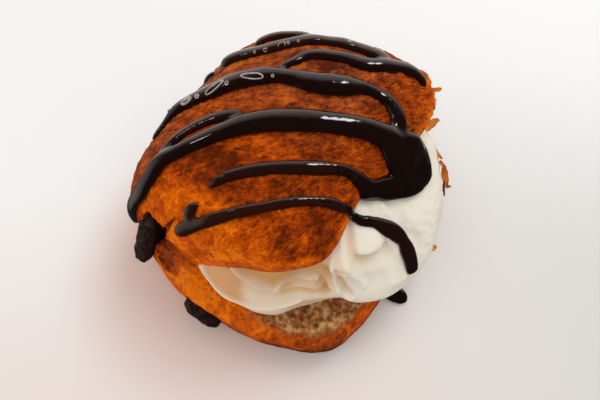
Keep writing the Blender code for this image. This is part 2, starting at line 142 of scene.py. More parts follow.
# sauce on the crust: place round the slab, place along the roll, width of the strand
STRANDS = (
    ((0.21, 0.19, 2.0), (0.23, 0.25, 2.2), (0.24, 0.29, 1.6)),
    ((0.29, 0.60, 2.6), (0.31, 0.72, 3.4), (0.36, 0.77, 3.4), (0.42, 0.75, 2.4)),
    ((0.26, 0.33, 3.2), (0.26, 0.40, 4.2), (0.33, 0.48, 3.6), (0.39, 0.60, 3.8), (0.45, 0.72, 4.2),
     (0.53, 0.78, 4.4), (0.60, 0.78, 3.8), (0.67, 0.78, 2.6)),
    ((0.43, 0.30, 2.0), (0.45, 0.42, 2.6), (0.47, 0.53, 3.2), (0.54, 0.60, 3.4), (0.61, 0.63, 4.2),
     (0.68, 0.74, 4.2), (0.75, 0.83, 3.9), (0.81, 0.84, 2.8), (0.86, 0.79, 1.6)),
    ((0.20, -0.44, 2.6), (0.20, -0.28, 3.4), (0.23, -0.14, 4.6), (0.31, 0.02, 5.4), (0.38, 0.17, 5.6),
     (0.46, 0.26, 4.5), (0.54, 0.30, 6.4), (0.60, 0.36, 6.4), (0.66, 0.44, 3.2), (0.74, 0.47, 3.0),
     (0.80, 0.46, 3.2), (0.86, 0.39, 3.8), (0.90, 0.30, 4.8), (0.95, 0.24, 6.4)),
    ((0.05, -0.94, 2.8), (0.16, -0.93, 3.4), (0.255, -0.865, 3.8), (0.295, -0.76, 4.0), (0.315, -0.64, 4.2),
     (0.36, -0.51, 3.9), (0.41, -0.36, 4.3), (0.48, -0.16, 6.2), (0.58, -0.01, 6.2), (0.74, 0.145, 5.8),
     (0.84, 0.20, 6.6), (0.93, 0.20, 7.8)),
    ((0.30, -0.60, 2.2), (0.32, -0.44, 2.9), (0.36, -0.27, 3.0), (0.43, -0.12, 2.9)),
    ((0.47, -0.69, 1.5), (0.51, -0.55, 2.8), (0.59, -0.40, 3.0), (0.72, -0.27, 3.3), (0.82, -0.18, 2.6),
     (0.89, -0.17, 2.8)),
    ((0.38, -0.965, 3.6), (0.42, -0.94, 3.7), (0.48, -0.88, 2.8), (0.59, -0.71, 2.5), (0.72, -0.54, 2.3),
     (0.84, -0.44, 2.3), (0.94, -0.41, 2.3)),
    ((0.44, -0.91, 2.2), (0.44, -0.85, 2.6), (0.46, -0.80, 2.0)),
)
# sauce on the cream: place up, place round, width of the strand
CREAM_STRANDS = (
    ((0.90, -0.164, 10.0), (0.885, -0.133, 11.4), (0.865, -0.106, 11.4), (0.845, -0.078, 10.6), (0.845, -0.046, 8.0),
     (0.865, -0.020, 6.4), (0.895, 0.003, 5.2), (0.92, 0.03, 4.6)),
    ((0.90, 0.122, 2.4), (0.87, 0.092, 2.8), (0.80, 0.067, 4.0), (0.73, 0.056, 3.8), (0.68, 0.052, 2.8),
     (0.64, 0.054, 3.8), (0.54, 0.055, 3.8), (0.45, 0.058, 3.2)),
)
# where sauce runs over the lid's lip: the strand on the crust, the strand on the cream, the place along
# the lip, where it lands along the lower strand and which way it goes on
OVER_THE_LIP = ((4, 0, 0.27, 0.34, 1), (5, 0, 0.15, 0.42, 1), (7, 0, -0.18, 0.70, -1), (8, 1, -0.40, 0.06, 1))
STRAND_PLACES = 60  # places worked out along each strand
# bubbles in the sauce: the strand, place along it and across it, half length and half width, lean,
# thickness of the rim
BUBBLES = (
    (4, 0.255, 0.62, 1.6, 0.50, -10, 0.45), (4, 0.285, 0.62, 0.5, 0.4, 0, 0.30), (4, 0.320, 0.42, 3.1, 0.75, -16, 0.24),
    (4, 0.345, 0.55, 0.45, 0.5, 60, 0.16), (4, 0.388, 0.46, 3.3, 0.8, 10, 0.24), (4, 0.437, 0.60, 0.35, 0.3, 0, 0.18),
    (4, 0.215, 0.20, 0.35, 0.3, 0, 0.18), (2, 0.346, 0.80, 0.45, 0.3, 0, 0.20), (2, 0.376, 0.72, 1.1, 0.5, -6, 0.16),
    (2, 0.392, 0.70, 0.35, 0.3, 0, 0.16), (2, 0.405, 0.70, 0.3, 0.25, 0, 0.15), (2, 0.326, 0.75, 0.3, 0.25, 0, 0.16),
    (2, 0.516, 0.30, 0.45, 0.35, 0, 0.16),
)
BUBBLE_LIFT = 0.12  # how far a rim's middle stands over the sauce
THIN = {1: 0.75, 2: 0.45, 3: 0.2, 6: 0.35, 7: 0.45, 8: 0.65, 9: 0.6}  # how thin strands lie on the crust
THICK = 0.1  # how thin the other strands lie
# a drop at the foot: along, across, half its length and width, height
DROP = (-12.0, 44.8, 3.2, 6.3, 4.8)
BAKED_LEVEL = 0.51  # how brown the crust is where no patch changes it
# browned and pale patches of the crust: place round the slab and along the roll, its half sizes, how
# much browner
BROWNING = (
    (0.45, -0.48, 0.10, 0.10, 0.42), (0.36, -0.53, 0.06, 0.08, 0.36), (0.45, -0.64, 0.05, 0.05, 0.26),
    (0.53, -0.61, 0.05, 0.07, 0.30), (0.53, -0.28, 0.08, 0.08, -0.22), (0.61, -0.14, 0.06, 0.10, 0.12),
    (0.78, -0.03, 0.05, 0.08, -0.10), (0.63, -0.50, 0.05, 0.06, 0.34), (0.71, -0.46, 0.06, 0.07, 0.22),
    (0.82, -0.30, 0.06, 0.08, 0.12), (0.57, -0.53, 0.03, 0.05, -0.15), (0.55, -0.86, 0.14, 0.12, -0.30),
    (0.69, -0.89, 0.06, 0.06, -0.25), (0.75, -0.76, 0.03, 0.10, 0.34), (0.88, -0.62, 0.10, 0.13, 0.36),
    (0.84, -0.73, 0.025, 0.04, -0.40), (0.93, -0.72, 0.05, 0.07, 0.15), (0.96, -0.48, 0.04, 0.10, -0.02),
    (0.35, -0.11, 0.05, 0.12, -0.12), (0.44, 0.06, 0.05, 0.08, 0.12), (0.49, 0.14, 0.03, 0.08, -0.24),
    (0.64, 0.24, 0.06, 0.07, -0.26), (0.74, 0.38, 0.05, 0.07, 0.12), (0.50, 0.50, 0.07, 0.10, 0.45),
    (0.31, 0.37, 0.06, 0.14, -0.22), (0.45, 0.62, 0.08, 0.08, -0.30), (0.65, 0.57, 0.03, 0.05, -0.22),
    (0.79, 0.66, 0.06, 0.08, -0.16), (0.515, -0.92, 0.04, 0.05, 0.22),
    (0.32, -0.98, 0.09, 0.05, -0.28), (0.88, 0.80, 0.10, 0.14, -0.16), (0.95, 0.58, 0.05, 0.10, -0.18),
)
# where along the roll the lid's outer layer ends, at even places round it from the first to the second
LAYER_EDGE = column(-0.98, -0.76, -0.64, -0.64, -0.67, -0.66, -0.70, -0.78)
LAYER_ROUND = (0.20, 0.60)
# flakes of crust: middle in world directions, length, width, heading in degrees, how brown
FLAKES = (
    ((41.3, 17.6, 42.0), 4.2, 1.5, 8, 0.35), ((39.8, 7.6, 38.0), 6.0, 2.4, 38, 0.25),
    ((39.6, 1.5, 36.0), 1.1, 0.8, 60, 0.3), ((41.6, -0.6, 35.0), 4.6, 1.2, -52, 0.5),
    ((43.6, -3.2, 32.6), 2.8, 1.2, -50, 0.6), ((44.5, -6.0, 30.0), 5.8, 2.2, -80, 0.55),
    ((44.2, -9.6, 29.0), 4.6, 0.6, -88, 1.1), ((45.6, -9.0, 29.0), 1.9, 0.9, 5, 0.5),
    ((39.8, -27.2, 24.5), 2.4, 1.8, 30, 0.15),
)
FLAKE_THICK = 0.35
# torn places where the near end's crust is missing: middle, direction, half length, half widths
TEARS = (
    ((-43.4, -23.6, 28.5), (-0.10, 0.32, 0.92), 12.0, (6.5, 4.8)),
    ((-47.4, -21.5, 14.0), (0.0, 1.0, -0.5), 4.2, (3.0, 2.6)),
)
TORN_DEPTH = 0.4  # crust farther than this from its own surface is torn or cut open
POCKET_RADIUS = 5.5  # of the second torn place, which is browned less than the rest
TEAR_SEED = 5  # of the lumps on what tears them
# a crack in the near end beside the torn place: points along, across and up, and half its width
CRACK = ((-46.4, -24.0, 16.0, 1.3), (-45.6, -21.2, 26.0, 1.7), (-44.2, -18.2, 34.0, 1.3),
         (-41.5, -14.5, 42.5, 0.6))


# ---------------------------------------------------------------- sizes and colours

def colour(name, default, description):
    """A colour that a user can change."""
    return bpy.props.FloatVectorProperty(
        name=name, description=description, default=default, min=0, max=1, size=3, subtype="COLOR")


def plain_number(name, default, description, **more):
    """A plain number that a user can change."""
    return bpy.props.FloatProperty(name=name, description=description, default=default, **more)


def length(name, default, description):
    """A length in metres that a user can change."""
    return plain_number(name, default, description, min=0, precision=5, subtype="DISTANCE", unit="LENGTH")


def whole_number(name, default, description):
    """A whole number that a user can change."""
    return bpy.props.IntProperty(name=name, description=description, default=default, min=8)


class CrustSizes(bpy.types.PropertyGroup):
    round_faces: whole_number("Faces round", 270, "Faces from lip to lip")
    along_faces: whole_number("Faces along", 164, "Faces along the roll")
    crag: plain_number("Crags", 2.1, "Height of the torn corner's crags, in mm")
    fibre: plain_number("Fibres", 1.1, "Height of the torn corner's fibres, in mm")
    wrinkle: plain_number("Wrinkles", 0.30, "Height of the crust's wrinkles, in mm")
    layer: plain_number("Layer", 0.5, "Thickness of the lid's outer layer, in mm")
    pore: plain_number("Pores", 0.9, "Depth of the crumb's pores, in mm")
    pale: colour("Pale crust", (0.86, 0.19, 0.0030), "The lightest specks of the crust")
    golden: colour("Golden", (0.64, 0.102, 0.0008), "Palest crust")
    orange: colour("Orange", (0.42, 0.058, 0.0008), "Most of the crust")
    brown: colour("Brown", (0.225, 0.0285, 0.0012), "Well browned crust")
    dark: colour("Dark", (0.100, 0.0135, 0.0010), "Darkest crust")
    # painted sheen: a duller red crust colour stands in for the bright back reflected in the crust; with its palest and
    # darkest places
    ruddy: colour("Ruddy", (0.27, 0.062, 0.021), "The duller red crust at the back")
    painted_sheen_pale: colour("Pale ruddy", (0.50, 0.15, 0.030), "Its palest places")
    painted_sheen_dark: colour("Dark ruddy", (0.085, 0.018, 0.010), "Its darkest places")
    crumb: colour("Crumb", (0.29, 0.112, 0.036), "The cut face's crumb")
    crumb_pale: colour("Pale crumb", (0.56, 0.31, 0.13), "The crumb's palest threads")
    crumb_brown: colour("Brown crumb", (0.17, 0.055, 0.014), "Browner crumb")
    # painted shade: the darkest crumb, for its dark specks and for the shade deep in its pores
    crumb_pore_shade: colour("Pores of the crumb", (0.11, 0.026, 0.004), "Deep in its pores")
    flake_pale: colour("Pale flake", (0.82, 0.33, 0.05), "The palest flakes of crust")
    flake_golden: colour("Golden flake", (0.66, 0.19, 0.012), "Golden flakes")
    flake_brown: colour("Brown flake", (0.33, 0.065, 0.004), "Well browned flakes")


class CreamSizes(bpy.types.PropertyGroup):
    up_faces: whole_number("Faces up", 185, "Faces from foot to top")
    round_faces: whole_number("Faces round", 440, "Faces round the filling")
    white: colour("White", (0.81, 0.755, 0.645), "Whipped cream")
    # painted light: warm bounce from the crust, and the shade of the cream's left face
    warm: colour("Warm", (0.66, 0.345, 0.160), "Cream beside the warm crust")
    # painted shade in the cream's deep hollow under the lid and in its folds
    hollow: colour("Hollow", (0.66, 0.375, 0.13), "Cream in its deep hollow under the lid")


class SauceSizes(bpy.types.PropertyGroup):
    fill: plain_number("Fill", 0.22, "What merging takes off each side, in mm")
    rise: plain_number("Rise", 0.42, "A strand's height, for its width")
    most: length("Most", 0.0031, "The thickest that a strand stands")
    bead: length("Bead", 0.0012, "Radius of the beads that a strand is filled with")
    step: length("Step", 0.0004, "Distance between beads")
    voxel: length("Voxel", 0.00036, "Fineness of the merged surface")
    thick: colour("Thick", (0.0042, 0.0014, 0.0012), "Thick chocolate sauce")
    thin: colour("Thin", (0.030, 0.0060, 0.0022), "Sauce where it lies thin")
    # painted highlight: the bubbles' rims are painted pale for the light glinting on them
    rim_glint: colour("Film", (0.75, 0.62, 0.58), "The rims of its bubbles")


class ChocolateSizes(bpy.types.PropertyGroup):
    dark: colour("Dark", (0.014, 0.0055, 0.0048), "Baked chocolate")
    bloom: colour("Bloom", (0.060, 0.024, 0.017), "Its rubbed edges")


class StageSizes(bpy.types.PropertyGroup):
    distance: length("Distance", 0.178, "From the camera to the middle of the base")
    elevation: plain_number("Elevation", math.radians(65), "Camera above the horizon", subtype="ANGLE", unit="ROTATION")
    lens: plain_number("Lens", 28.8, "Focal length in mm")
    floor: colour("Floor", (0.84, 0.838, 0.835), "The pale floor")
    # painted light: the floor is darker and warmer towards the camera, for the light's falloff and the pastry's warm
    # bounce
    floor_near_shade: colour("Floor near", (0.76, 0.68, 0.645), "The floor towards the camera")
    # painted shade at the floor's near right
    floor_right_shade: colour("Floor right", (0.66, 0.65, 0.635), "The floor at the right")
    # painted shadow beside the pastry's near left, warmed by its bounce light
    floor_warm_shadow: colour("Floor warm", (0.74, 0.54, 0.47), "The floor that the pastry's near left side reddens")
    world: plain_number("World", 0.79, "Strength of the light from all round")
    sky: plain_number("Sky", 1.35, "Brightest part of what the sauce reflects")
    key: plain_number("Key", 1.7, "Power of the large soft light", unit="POWER")
    fill: plain_number("Fill", 0.8, "Power of the soft light from the near left", unit="POWER")


# ---------------------------------------------------------------- shapes

def to_world(points):
    """Points in roll directions, in millimetres, as world coordinates in metres."""
    c, s = math.cos(ROLL_ANGLE), math.sin(ROLL_ANGLE)
    along, across, up = points[..., 0], points[..., 1], points[..., 2]
    return np.stack([along * c + across * s, along * s - across * c, up], -1) * MM


def between_rows(before, start, end, after, part):
    """Catmull-Rom from one row to the next, at a part of the way from 0 to 1."""
    return 0.5 * (
        2 * start + (end - before) * part + (2 * before - 5 * start + 4 * end - after) * part ** 2
        + (3 * start - before - 3 * end + after) * part ** 3
    )


def spline(table, place, closed=False):
    """A smooth curve through the evenly spaced rows of a table, at places from 0 to 1."""
    last = len(table) - (0 if closed else 1)
    at = np.clip(place, 0, 1) * last
    i = np.minimum(at.astype(int), last - 1)
    rows = (table[(i + k) % last if closed else np.clip(i + k, 0, last)] for k in (-1, 0, 1, 2))
    return between_rows(*rows, (at - i)[..., None])


def slab(p, e, outside=True, reach=None):
    """Points of the folded slab. p runs from lip to lip and e along the roll, both from -1 to 1."""
    place = (1 + p) / 2
    row = spline(SECTION, place)
    if reach is None:
        square = row[..., 8]
        reach = np.minimum((abs(p) ** square + abs(e) ** square) ** (1 / square), 1)
    face = row[..., 0:2] if outside else row[..., 4:6]
    low, high = CRUST_ROUND if outside else CUT_ROUND
    square = low + (high - low) * np.clip(2.5 * place - 0.9, 0, 1)
    full = np.maximum(1 - reach ** square, 0) ** (1 / square)
    rim = row[..., 2:4]
    near, far = row[..., 6], row[..., 7]
    along = (near + far) / 2 + (far - near) / 2 * e
    points = np.concatenate([along[..., None], rim + (face - rim) * full[..., None]], -1)
    points[..., 1] += spline(LIP_WAVE, (1 + e) / 2)[..., 0] * np.clip(3.5 * place - 2.5, 0, 1)
    points[..., 2] = np.maximum(points[..., 2], 0)
    return to_world(points)


def distance_to(stops, height, turn):
    """How far places on the cream lie from a line of stops, in millimetres."""
    place = np.stack([height * CREAM_UNIT[0], ((turn + 0.5) % 1 - 0.5) * CREAM_UNIT[1]], -1)
    line = spline(np.array(stops), np.linspace(0, 1, 4 * len(stops))) * CREAM_UNIT
    nearest = np.full(height.shape, 1e3)
    for start, end in zip(line, line[1:]):
        along = np.clip(((place - start) @ (end - start)) / ((end - start) @ (end - start)), 0, 1)
        nearest = np.minimum(nearest, np.linalg.norm(place - start - along[..., None] * (end - start), axis=-1))
    return nearest


def cream(height, turn):
    """Points of the cream's surface. height goes up and turn goes round, both from 0 to 1."""
    by_turn = spline(CREAM, turn % 1, closed=True)
    last = by_turn.shape[-1] - 1
    at = np.clip(height, 0, 1) * last
    i = np.minimum(at.astype(int), last - 1)
    radius = between_rows(*(
        np.take_along_axis(by_turn, np.clip(i + k, 0, last)[..., None], -1)[..., 0] for k in (-1, 0, 1, 2)
    ), at - i)
    for depth, width, stops in FOLDS:
        radius = radius - depth * np.exp(-(distance_to(stops, height, turn) / width) ** 2)
    up = spline(CREAM_LEVELS, height)[..., 0]
    angle = 2 * math.pi * turn
    return to_world(np.stack([
        CREAM_MIDDLE[0] - radius * np.sin(angle), CREAM_MIDDLE[1] + radius * np.cos(angle), up
    ], -1))


def rough(place, layers):
    """Soft bumps from layers of noise, each with its width and height."""
    return sum(height * noise.noise(place / width) for width, height in layers)


def torn_corner(place):
    """1 at the middle of the lid's torn far corner, falling to 0 round it."""
    middle, radius = TORN_CORNER
    return max(0.0, 1 - (place - Vector(middle)).length / radius) ** 0.5


def crust_relief(place, crag=0.0):
    """The crust's bumps, none on the face it rests on, and crags at the torn corner."""
    height = rough(place, BUMPS)
    if crag:
        height += crag * torn_corner(place) * noise.noise(place / 3.1)
    return height * min(1.0, max(0.0, place.z / 4))


def vertex_arrays(data):
    """A mesh's vertices and their normals as arrays."""
    places, normals = np.empty(len(data.vertices) * 3), np.empty(len(data.vertices) * 3)
    data.vertices.foreach_get("co", places)
    data.vertices.foreach_get("normal", normals)
    return places.reshape(-1, 3), normals.reshape(-1, 3)


def push_out(data, amount):
    """Move each vertex along its normal by amount(number, place in mm), in millimetres."""
    places, normals = vertex_arrays(data)
    moves = np.array([amount(n, Vector(place / MM)) for n, place in enumerate(places)]) * MM
    places += normals * moves[:, None]
    places[:, 2] = np.maximum(places[:, 2], 0)
    data.vertices.foreach_set("co", places.ravel())
    data.update()


def paint(data, name, values, kind="FLOAT"):
    """Keep a number or a vector at each vertex of a mesh."""
    member = "vector" if kind == "FLOAT_VECTOR" else "value"
    data.attributes.new(name, kind, "POINT").data.foreach_set(member, np.ravel(values))


def finder_of(places):
    """What finds the nearest of some places."""
    finder = kdtree.KDTree(len(places))
    for n, place in enumerate(places):
        finder.insert(place, n)
    finder.balance()
    return finder


def grid_faces(rows, columns, closed=False):
    """Corner numbers of the faces of a grid whose vertices run row by row."""
    i, j = np.meshgrid(np.arange(rows - 1), np.arange(columns if closed else columns - 1), indexing="ij")
    k = (j + 1) % columns
    return np.stack([i * columns + j, (i + 1) * columns + j, (i + 1) * columns + k, i * columns + k], -1).reshape(-1, 4)


def new_mesh(name, vertices, faces):
    """A tidied mesh from its corners and faces."""
    data = bpy.data.meshes.new(name)
    data.from_pydata(vertices, [], faces)
    return tidy_mesh(data)


def tidy_mesh(data):
    """Merge doubles and turn the faces outwards."""
    mesh = bmesh.new()
    mesh.from_mesh(data)
    bmesh.ops.remove_doubles(mesh, verts=mesh.verts, dist=1e-7)
    mesh.normal_update()
    bmesh.ops.recalc_face_normals(mesh, faces=mesh.faces)
    mesh.to_mesh(data)
    mesh.free()
    data.update()
    return data


def finished(mesh, name):
    """A tidied mesh from a bmesh, which is freed."""
    data = bpy.data.meshes.new(name)
    mesh.to_mesh(data)
    mesh.free()
    return tidy_mesh(data)


def new_piece(name, data, look, body="root", stands_for=()):
    """Link a finished mesh as a piece that rides on a body."""
    piece = bpy.data.objects.new(name, data)
    bpy.context.scene.collection.objects.link(piece)
    data.materials.clear()
    data.materials.append(look)
    for face in data.polygons:
        face.use_smooth = True
        face.material_index = 0
    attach(piece, body)
    if stands_for:
        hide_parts(*stands_for)
    return piece


def combine(data, operation, tools):
    """Join meshes to a mesh, or cut them from it, in one Boolean."""
    target = bpy.data.objects.new("target", data)
    bpy.context.scene.collection.objects.link(target)
    group = bpy.data.collections.new("tools")
    made = [bpy.data.objects.new("tool", tool) for tool in tools]
    for tool in made:
        group.objects.link(tool)
    change = target.modifiers.new("combine", "BOOLEAN")
    change.operation = operation
    change.operand_type = "COLLECTION"
    change.collection = group
    change.solver = "MANIFOLD"
    depsgraph = bpy.context.evaluated_depsgraph_get()
    result = bpy.data.meshes.new_from_object(target.evaluated_get(depsgraph))
    for old in (target, *made):
        bpy.data.objects.remove(old)
    bpy.data.collections.remove(group)
    return result


def without_flaps(data, near=1e-6):
    """Take off the slivers that a Boolean leaves: those with no width, and those that fold on an edge."""
    mesh = bmesh.new()
    mesh.from_mesh(data)
    bmesh.ops.remove_doubles(mesh, verts=mesh.verts, dist=near)
    bmesh.ops.dissolve_degenerate(mesh, dist=near, edges=mesh.edges)
    bmesh.ops.triangulate(mesh, faces=[face for face in mesh.faces if len(face.verts) > 3])
    for _ in range(3):  # taking one away may bare another
        alike = {}
        for face in mesh.faces:
            alike.setdefault(frozenset(face.verts), []).append(face)
        flaps = {face for pair in alike.values() if len(pair) > 1 for face in pair}
        flaps.update(face for face in mesh.faces if sum(len(edge.link_faces) == 1 for edge in face.edges) > 1)
        bmesh.ops.delete(mesh, geom=list(flaps), context="FACES")
    mesh.to_mesh(data)
    mesh.free()
    return data


def slab_places(round_faces, along_faces):
    """Places on the slab, drawn in from a square so that the square's edge becomes the rim."""
    def clustered(count):
        even = np.linspace(-1, 1, count + 1)
        return even * (1.25 - 0.25 * even ** 2)
    a, b = np.meshgrid(clustered(round_faces), clustered(along_faces), indexing="ij")
    reach = np.maximum(abs(a), abs(b))
    square = spline(SECTION, (1 + a) / 2)[..., 8]
    shrink = reach / np.maximum((abs(a) ** square + abs(b) ** square) ** (1 / square), 1e-9)
    return a * shrink, b * shrink, reach


def smooth_step(low, high, value):
    """0 at low and 1 at high, smooth from one to the other. low may be the larger."""
    t = np.clip((value - low) / (high - low), 0, 1)
    return t * t * (3 - 2 * t)


def tube(rings):
    """A closed tube through rings of points, its ends closed by fans."""
    rings = np.array(rings)
    count = rings.shape[1]
    ends = [rings[0].mean(0), rings[-1].mean(0)]
    faces = grid_faces(len(rings), count, closed=True).tolist()
    last = (len(rings) - 1) * count
    for k in range(count):
        faces.append((k, (k + 1) % count, rings.shape[0] * count))
        faces.append((last + k, last + (k + 1) % count, rings.shape[0] * count + 1))
    return new_mesh("tube", np.concatenate([rings.reshape(-1, 3), ends]).tolist(), faces)


def baton_mesh(across, up, width, thick, tilt, near, far, flare, grow=0.0, sides=14, cuts=6, even=False):
    """A bar of chocolate with rounded ends that show at both ends of the roll."""
    rings = []
    ends = np.array((0.0, 0.12, 0.35, 0.7, 1.1, 1.6, 2.2, 3.0, 4.0) if even else (0.0, 0.5, 1.6, 4.0))
    middle = np.linspace(near + 12 - 7 * even, far - 10 + 5 * even, cuts)
    for along in np.concatenate([near + ends, middle, far - ends[::-1]]):
        edge = min(along - near, far - along)
        size = math.sqrt(1 - max(0.0, 1 - edge / 2.2) ** 2 * 0.75)
        spread = flare * max(0.0, 1 - (along - near) / 12)
        ring = []
        for k in range(sides):
            turn = 2 * math.pi * k / sides
            c, s = math.cos(turn), math.sin(turn)
            round_x = math.copysign(abs(c) ** 0.6, c) * ((width + spread) / 2 * size + grow)
            round_y = math.copysign(abs(s) ** 0.6, s) * (thick / 2 * size + grow)
            lean = math.radians(tilt)
            ring.append(to_world(np.array((
                along - math.copysign(grow, near + far - 2 * along) * (edge < 0.1) + 0.03 * spread * round_x,
                across + round_x * math.cos(lean) + round_y * math.sin(lean),
                up + 0.55 * spread + round_x * math.sin(lean) - round_y * math.cos(lean),
            ))))
        rings.append(ring)
    return tube(rings)


def tear_axes(direction, length, widths):
    """A torn place's three half axes, the long one last."""
    ahead = np.array(direction) / np.linalg.norm(direction)
    side = np.cross(ahead, (1.0, 0.0, 0.0))
    side /= np.linalg.norm(side)
    return np.stack([np.cross(side, ahead) * widths[0], side * widths[1], ahead * length])


def tear_mesh(middle, direction, length, widths):
    """A long lumpy ball that takes away a torn patch of crust."""
    mesh = bmesh.new()
    bmesh.ops.create_icosphere(mesh, subdivisions=5, radius=1)
    noise.seed_set(TEAR_SEED)
    axes = tear_axes(direction, length, widths)
    for vertex in mesh.verts:
        coarse = noise.noise(vertex.co * 1.7 + Vector(middle))
        place = np.array(vertex.co) @ axes * (1 + 0.25 * coarse)
        fine, broad = (np.array(noise.noise_vector(Vector(place) / width)) for width in (1.4, 3.5))
        place += 0.35 * fine + 0.5 * broad
        vertex.co = Vector(to_world(place + np.array(middle)))
    return finished(mesh, "tear")


def crack_mesh(reach=2.4, sides=16):
    """A thin tapering cutter that opens the crack. It reaches that far to each side along the roll."""
    rings = []
    for along, across, up, half in spline(np.array(CRACK), np.linspace(0, 1, 30)):
        turn = np.arange(sides) * 2 * math.pi / sides
        wander = 0.35 * noise.noise(Vector((along, across, up)) / 2.5)
        rings.append(to_world(np.stack([
            along + reach * np.cos(turn), across + wander + half * np.sin(turn), np.full(sides, up)], -1)))
    return tube(rings)


# ---------------------------------------------------------------- finishes

class Value:
    """A node's socket that adds Math nodes when it is used in an expression."""

    def __init__(self, nodes, socket):
        self.nodes, self.socket = nodes, socket

    def math(self, operation, *others):
        return self.nodes.node("Math", {"operation": operation}, dict(enumerate((self, *others))))

    def __add__(self, other):
        return self.math("ADD", other)

    def __radd__(self, other):
        return self.math("ADD", other)

    def __mul__(self, other):
        return self.math("MULTIPLY", other)

    def __rmul__(self, other):
        return self.math("MULTIPLY", other)

    def __sub__(self, other):
        return self.math("SUBTRACT", other)

    def __rsub__(self, other):
        return self.nodes.node("Math", {"operation": "SUBTRACT"}, {0: other, 1: self})

    def most(self, other):
        return self.math("MAXIMUM", other)

    def least(self, other):
        return self.math("MINIMUM", other)

    def between(self, low, high):
        """0 at low and 1 at high, smooth from one to the other. low may be the larger."""
        return self.nodes.node("MapRange", {"interpolation_type": "SMOOTHSTEP"},
                               {"Value": self, "From Min": low, "From Max": high})


class Nodes:
    """A node tree and what adds nodes to it."""

    def __init__(self, tree, family="ShaderNode"):
        self.tree, self.family = tree, family

    def node(self, kind, settings=None, sockets=None, output=0):
        """An output of a new node, whose settings are made before its sockets are filled."""
        made = self.tree.nodes.new(self.family + kind)
        for name, value in (settings or {}).items():
            if name == "stops":
                while len(made.color_ramp.elements) < len(value):
                    made.color_ramp.elements.new(0.5)
                for stop, (place, shade) in zip(made.color_ramp.elements, value):
                    stop.position, stop.color = place, (*shade, 1)
            else:
                setattr(made, name, value)
        for name, value in (sockets or {}).items():
            self.plug(made.inputs[name], value)
        return Value(self, made.outputs[output])

    def plug(self, socket, value):
        """Link a value to a socket, or set the socket to it."""
        if isinstance(value, Value):
            self.tree.links.new(value.socket, socket)
        elif socket.type == "RGBA" and len(value) == 3:
            socket.default_value = (*value, 1)
        else:
            socket.default_value = value

    def parts(self, vector):
        """The parts of a vector, from one node."""
        made = self.node("SeparateXYZ", None, {0: vector}).socket.node
        return [Value(self, socket) for socket in made.outputs]

    def mix(self, factor, first, second, blend="MIX"):
        return self.node("Mix", {"data_type": "RGBA", "blend_type": blend}, {0: factor, 6: first, 7: second}, output=2)


class Look(Nodes):
    """A material and what adds its nodes."""

    def __init__(self, name):
        self.material = bpy.data.materials.new(name)
        self.material.use_nodes = True
        super().__init__(self.material.node_tree)
        self.shader = self.tree.nodes["Principled BSDF"]

    def place(self):
        return self.node("TexCoord", output="Object")

    def attribute(self, name, output="Fac"):
        return self.node("Attribute", {"attribute_name": name}, output=output)

    def noise(self, place, scale, detail=2.0, rough=0.5, bend=0.0):
        return self.node("TexNoise", None, {
            "Vector": place, "Scale": scale, "Detail": detail, "Roughness": rough, "Distortion": bend})

    def vector_math(self, operation, sockets, output=0):
        return self.node("VectorMath", {"operation": operation}, sockets, output)

    def stretched(self, place, scale):
        return self.node("Mapping", None, {"Vector": place, "Scale": scale})

    def slanted(self, place, scale):
        """Places turned so that a stretched pattern runs across the crust at a slant."""
        turned = self.node("VectorRotate", {"rotation_type": "Z_AXIS"}, {"Vector": place, "Angle": math.radians(-40)})
        return self.stretched(turned, scale)

    def ramp(self, value, stops):
        """Colours along a value, from stops of a place and a colour."""
        return self.node("ValToRGB", {"stops": [(place, tuple(shade)) for place, shade in stops]}, {"Fac": value})

    def bump(self, height, distance, strength=1.0):
        return self.node("Bump", None, {"Height": height, "Distance": distance, "Strength": strength})

    def finish(self, **sockets):
        """The material, once the shader's sockets are filled."""
        for name, value in sockets.items():
            self.plug(self.shader.inputs[name.replace("_", " ")], value)
        return self.material


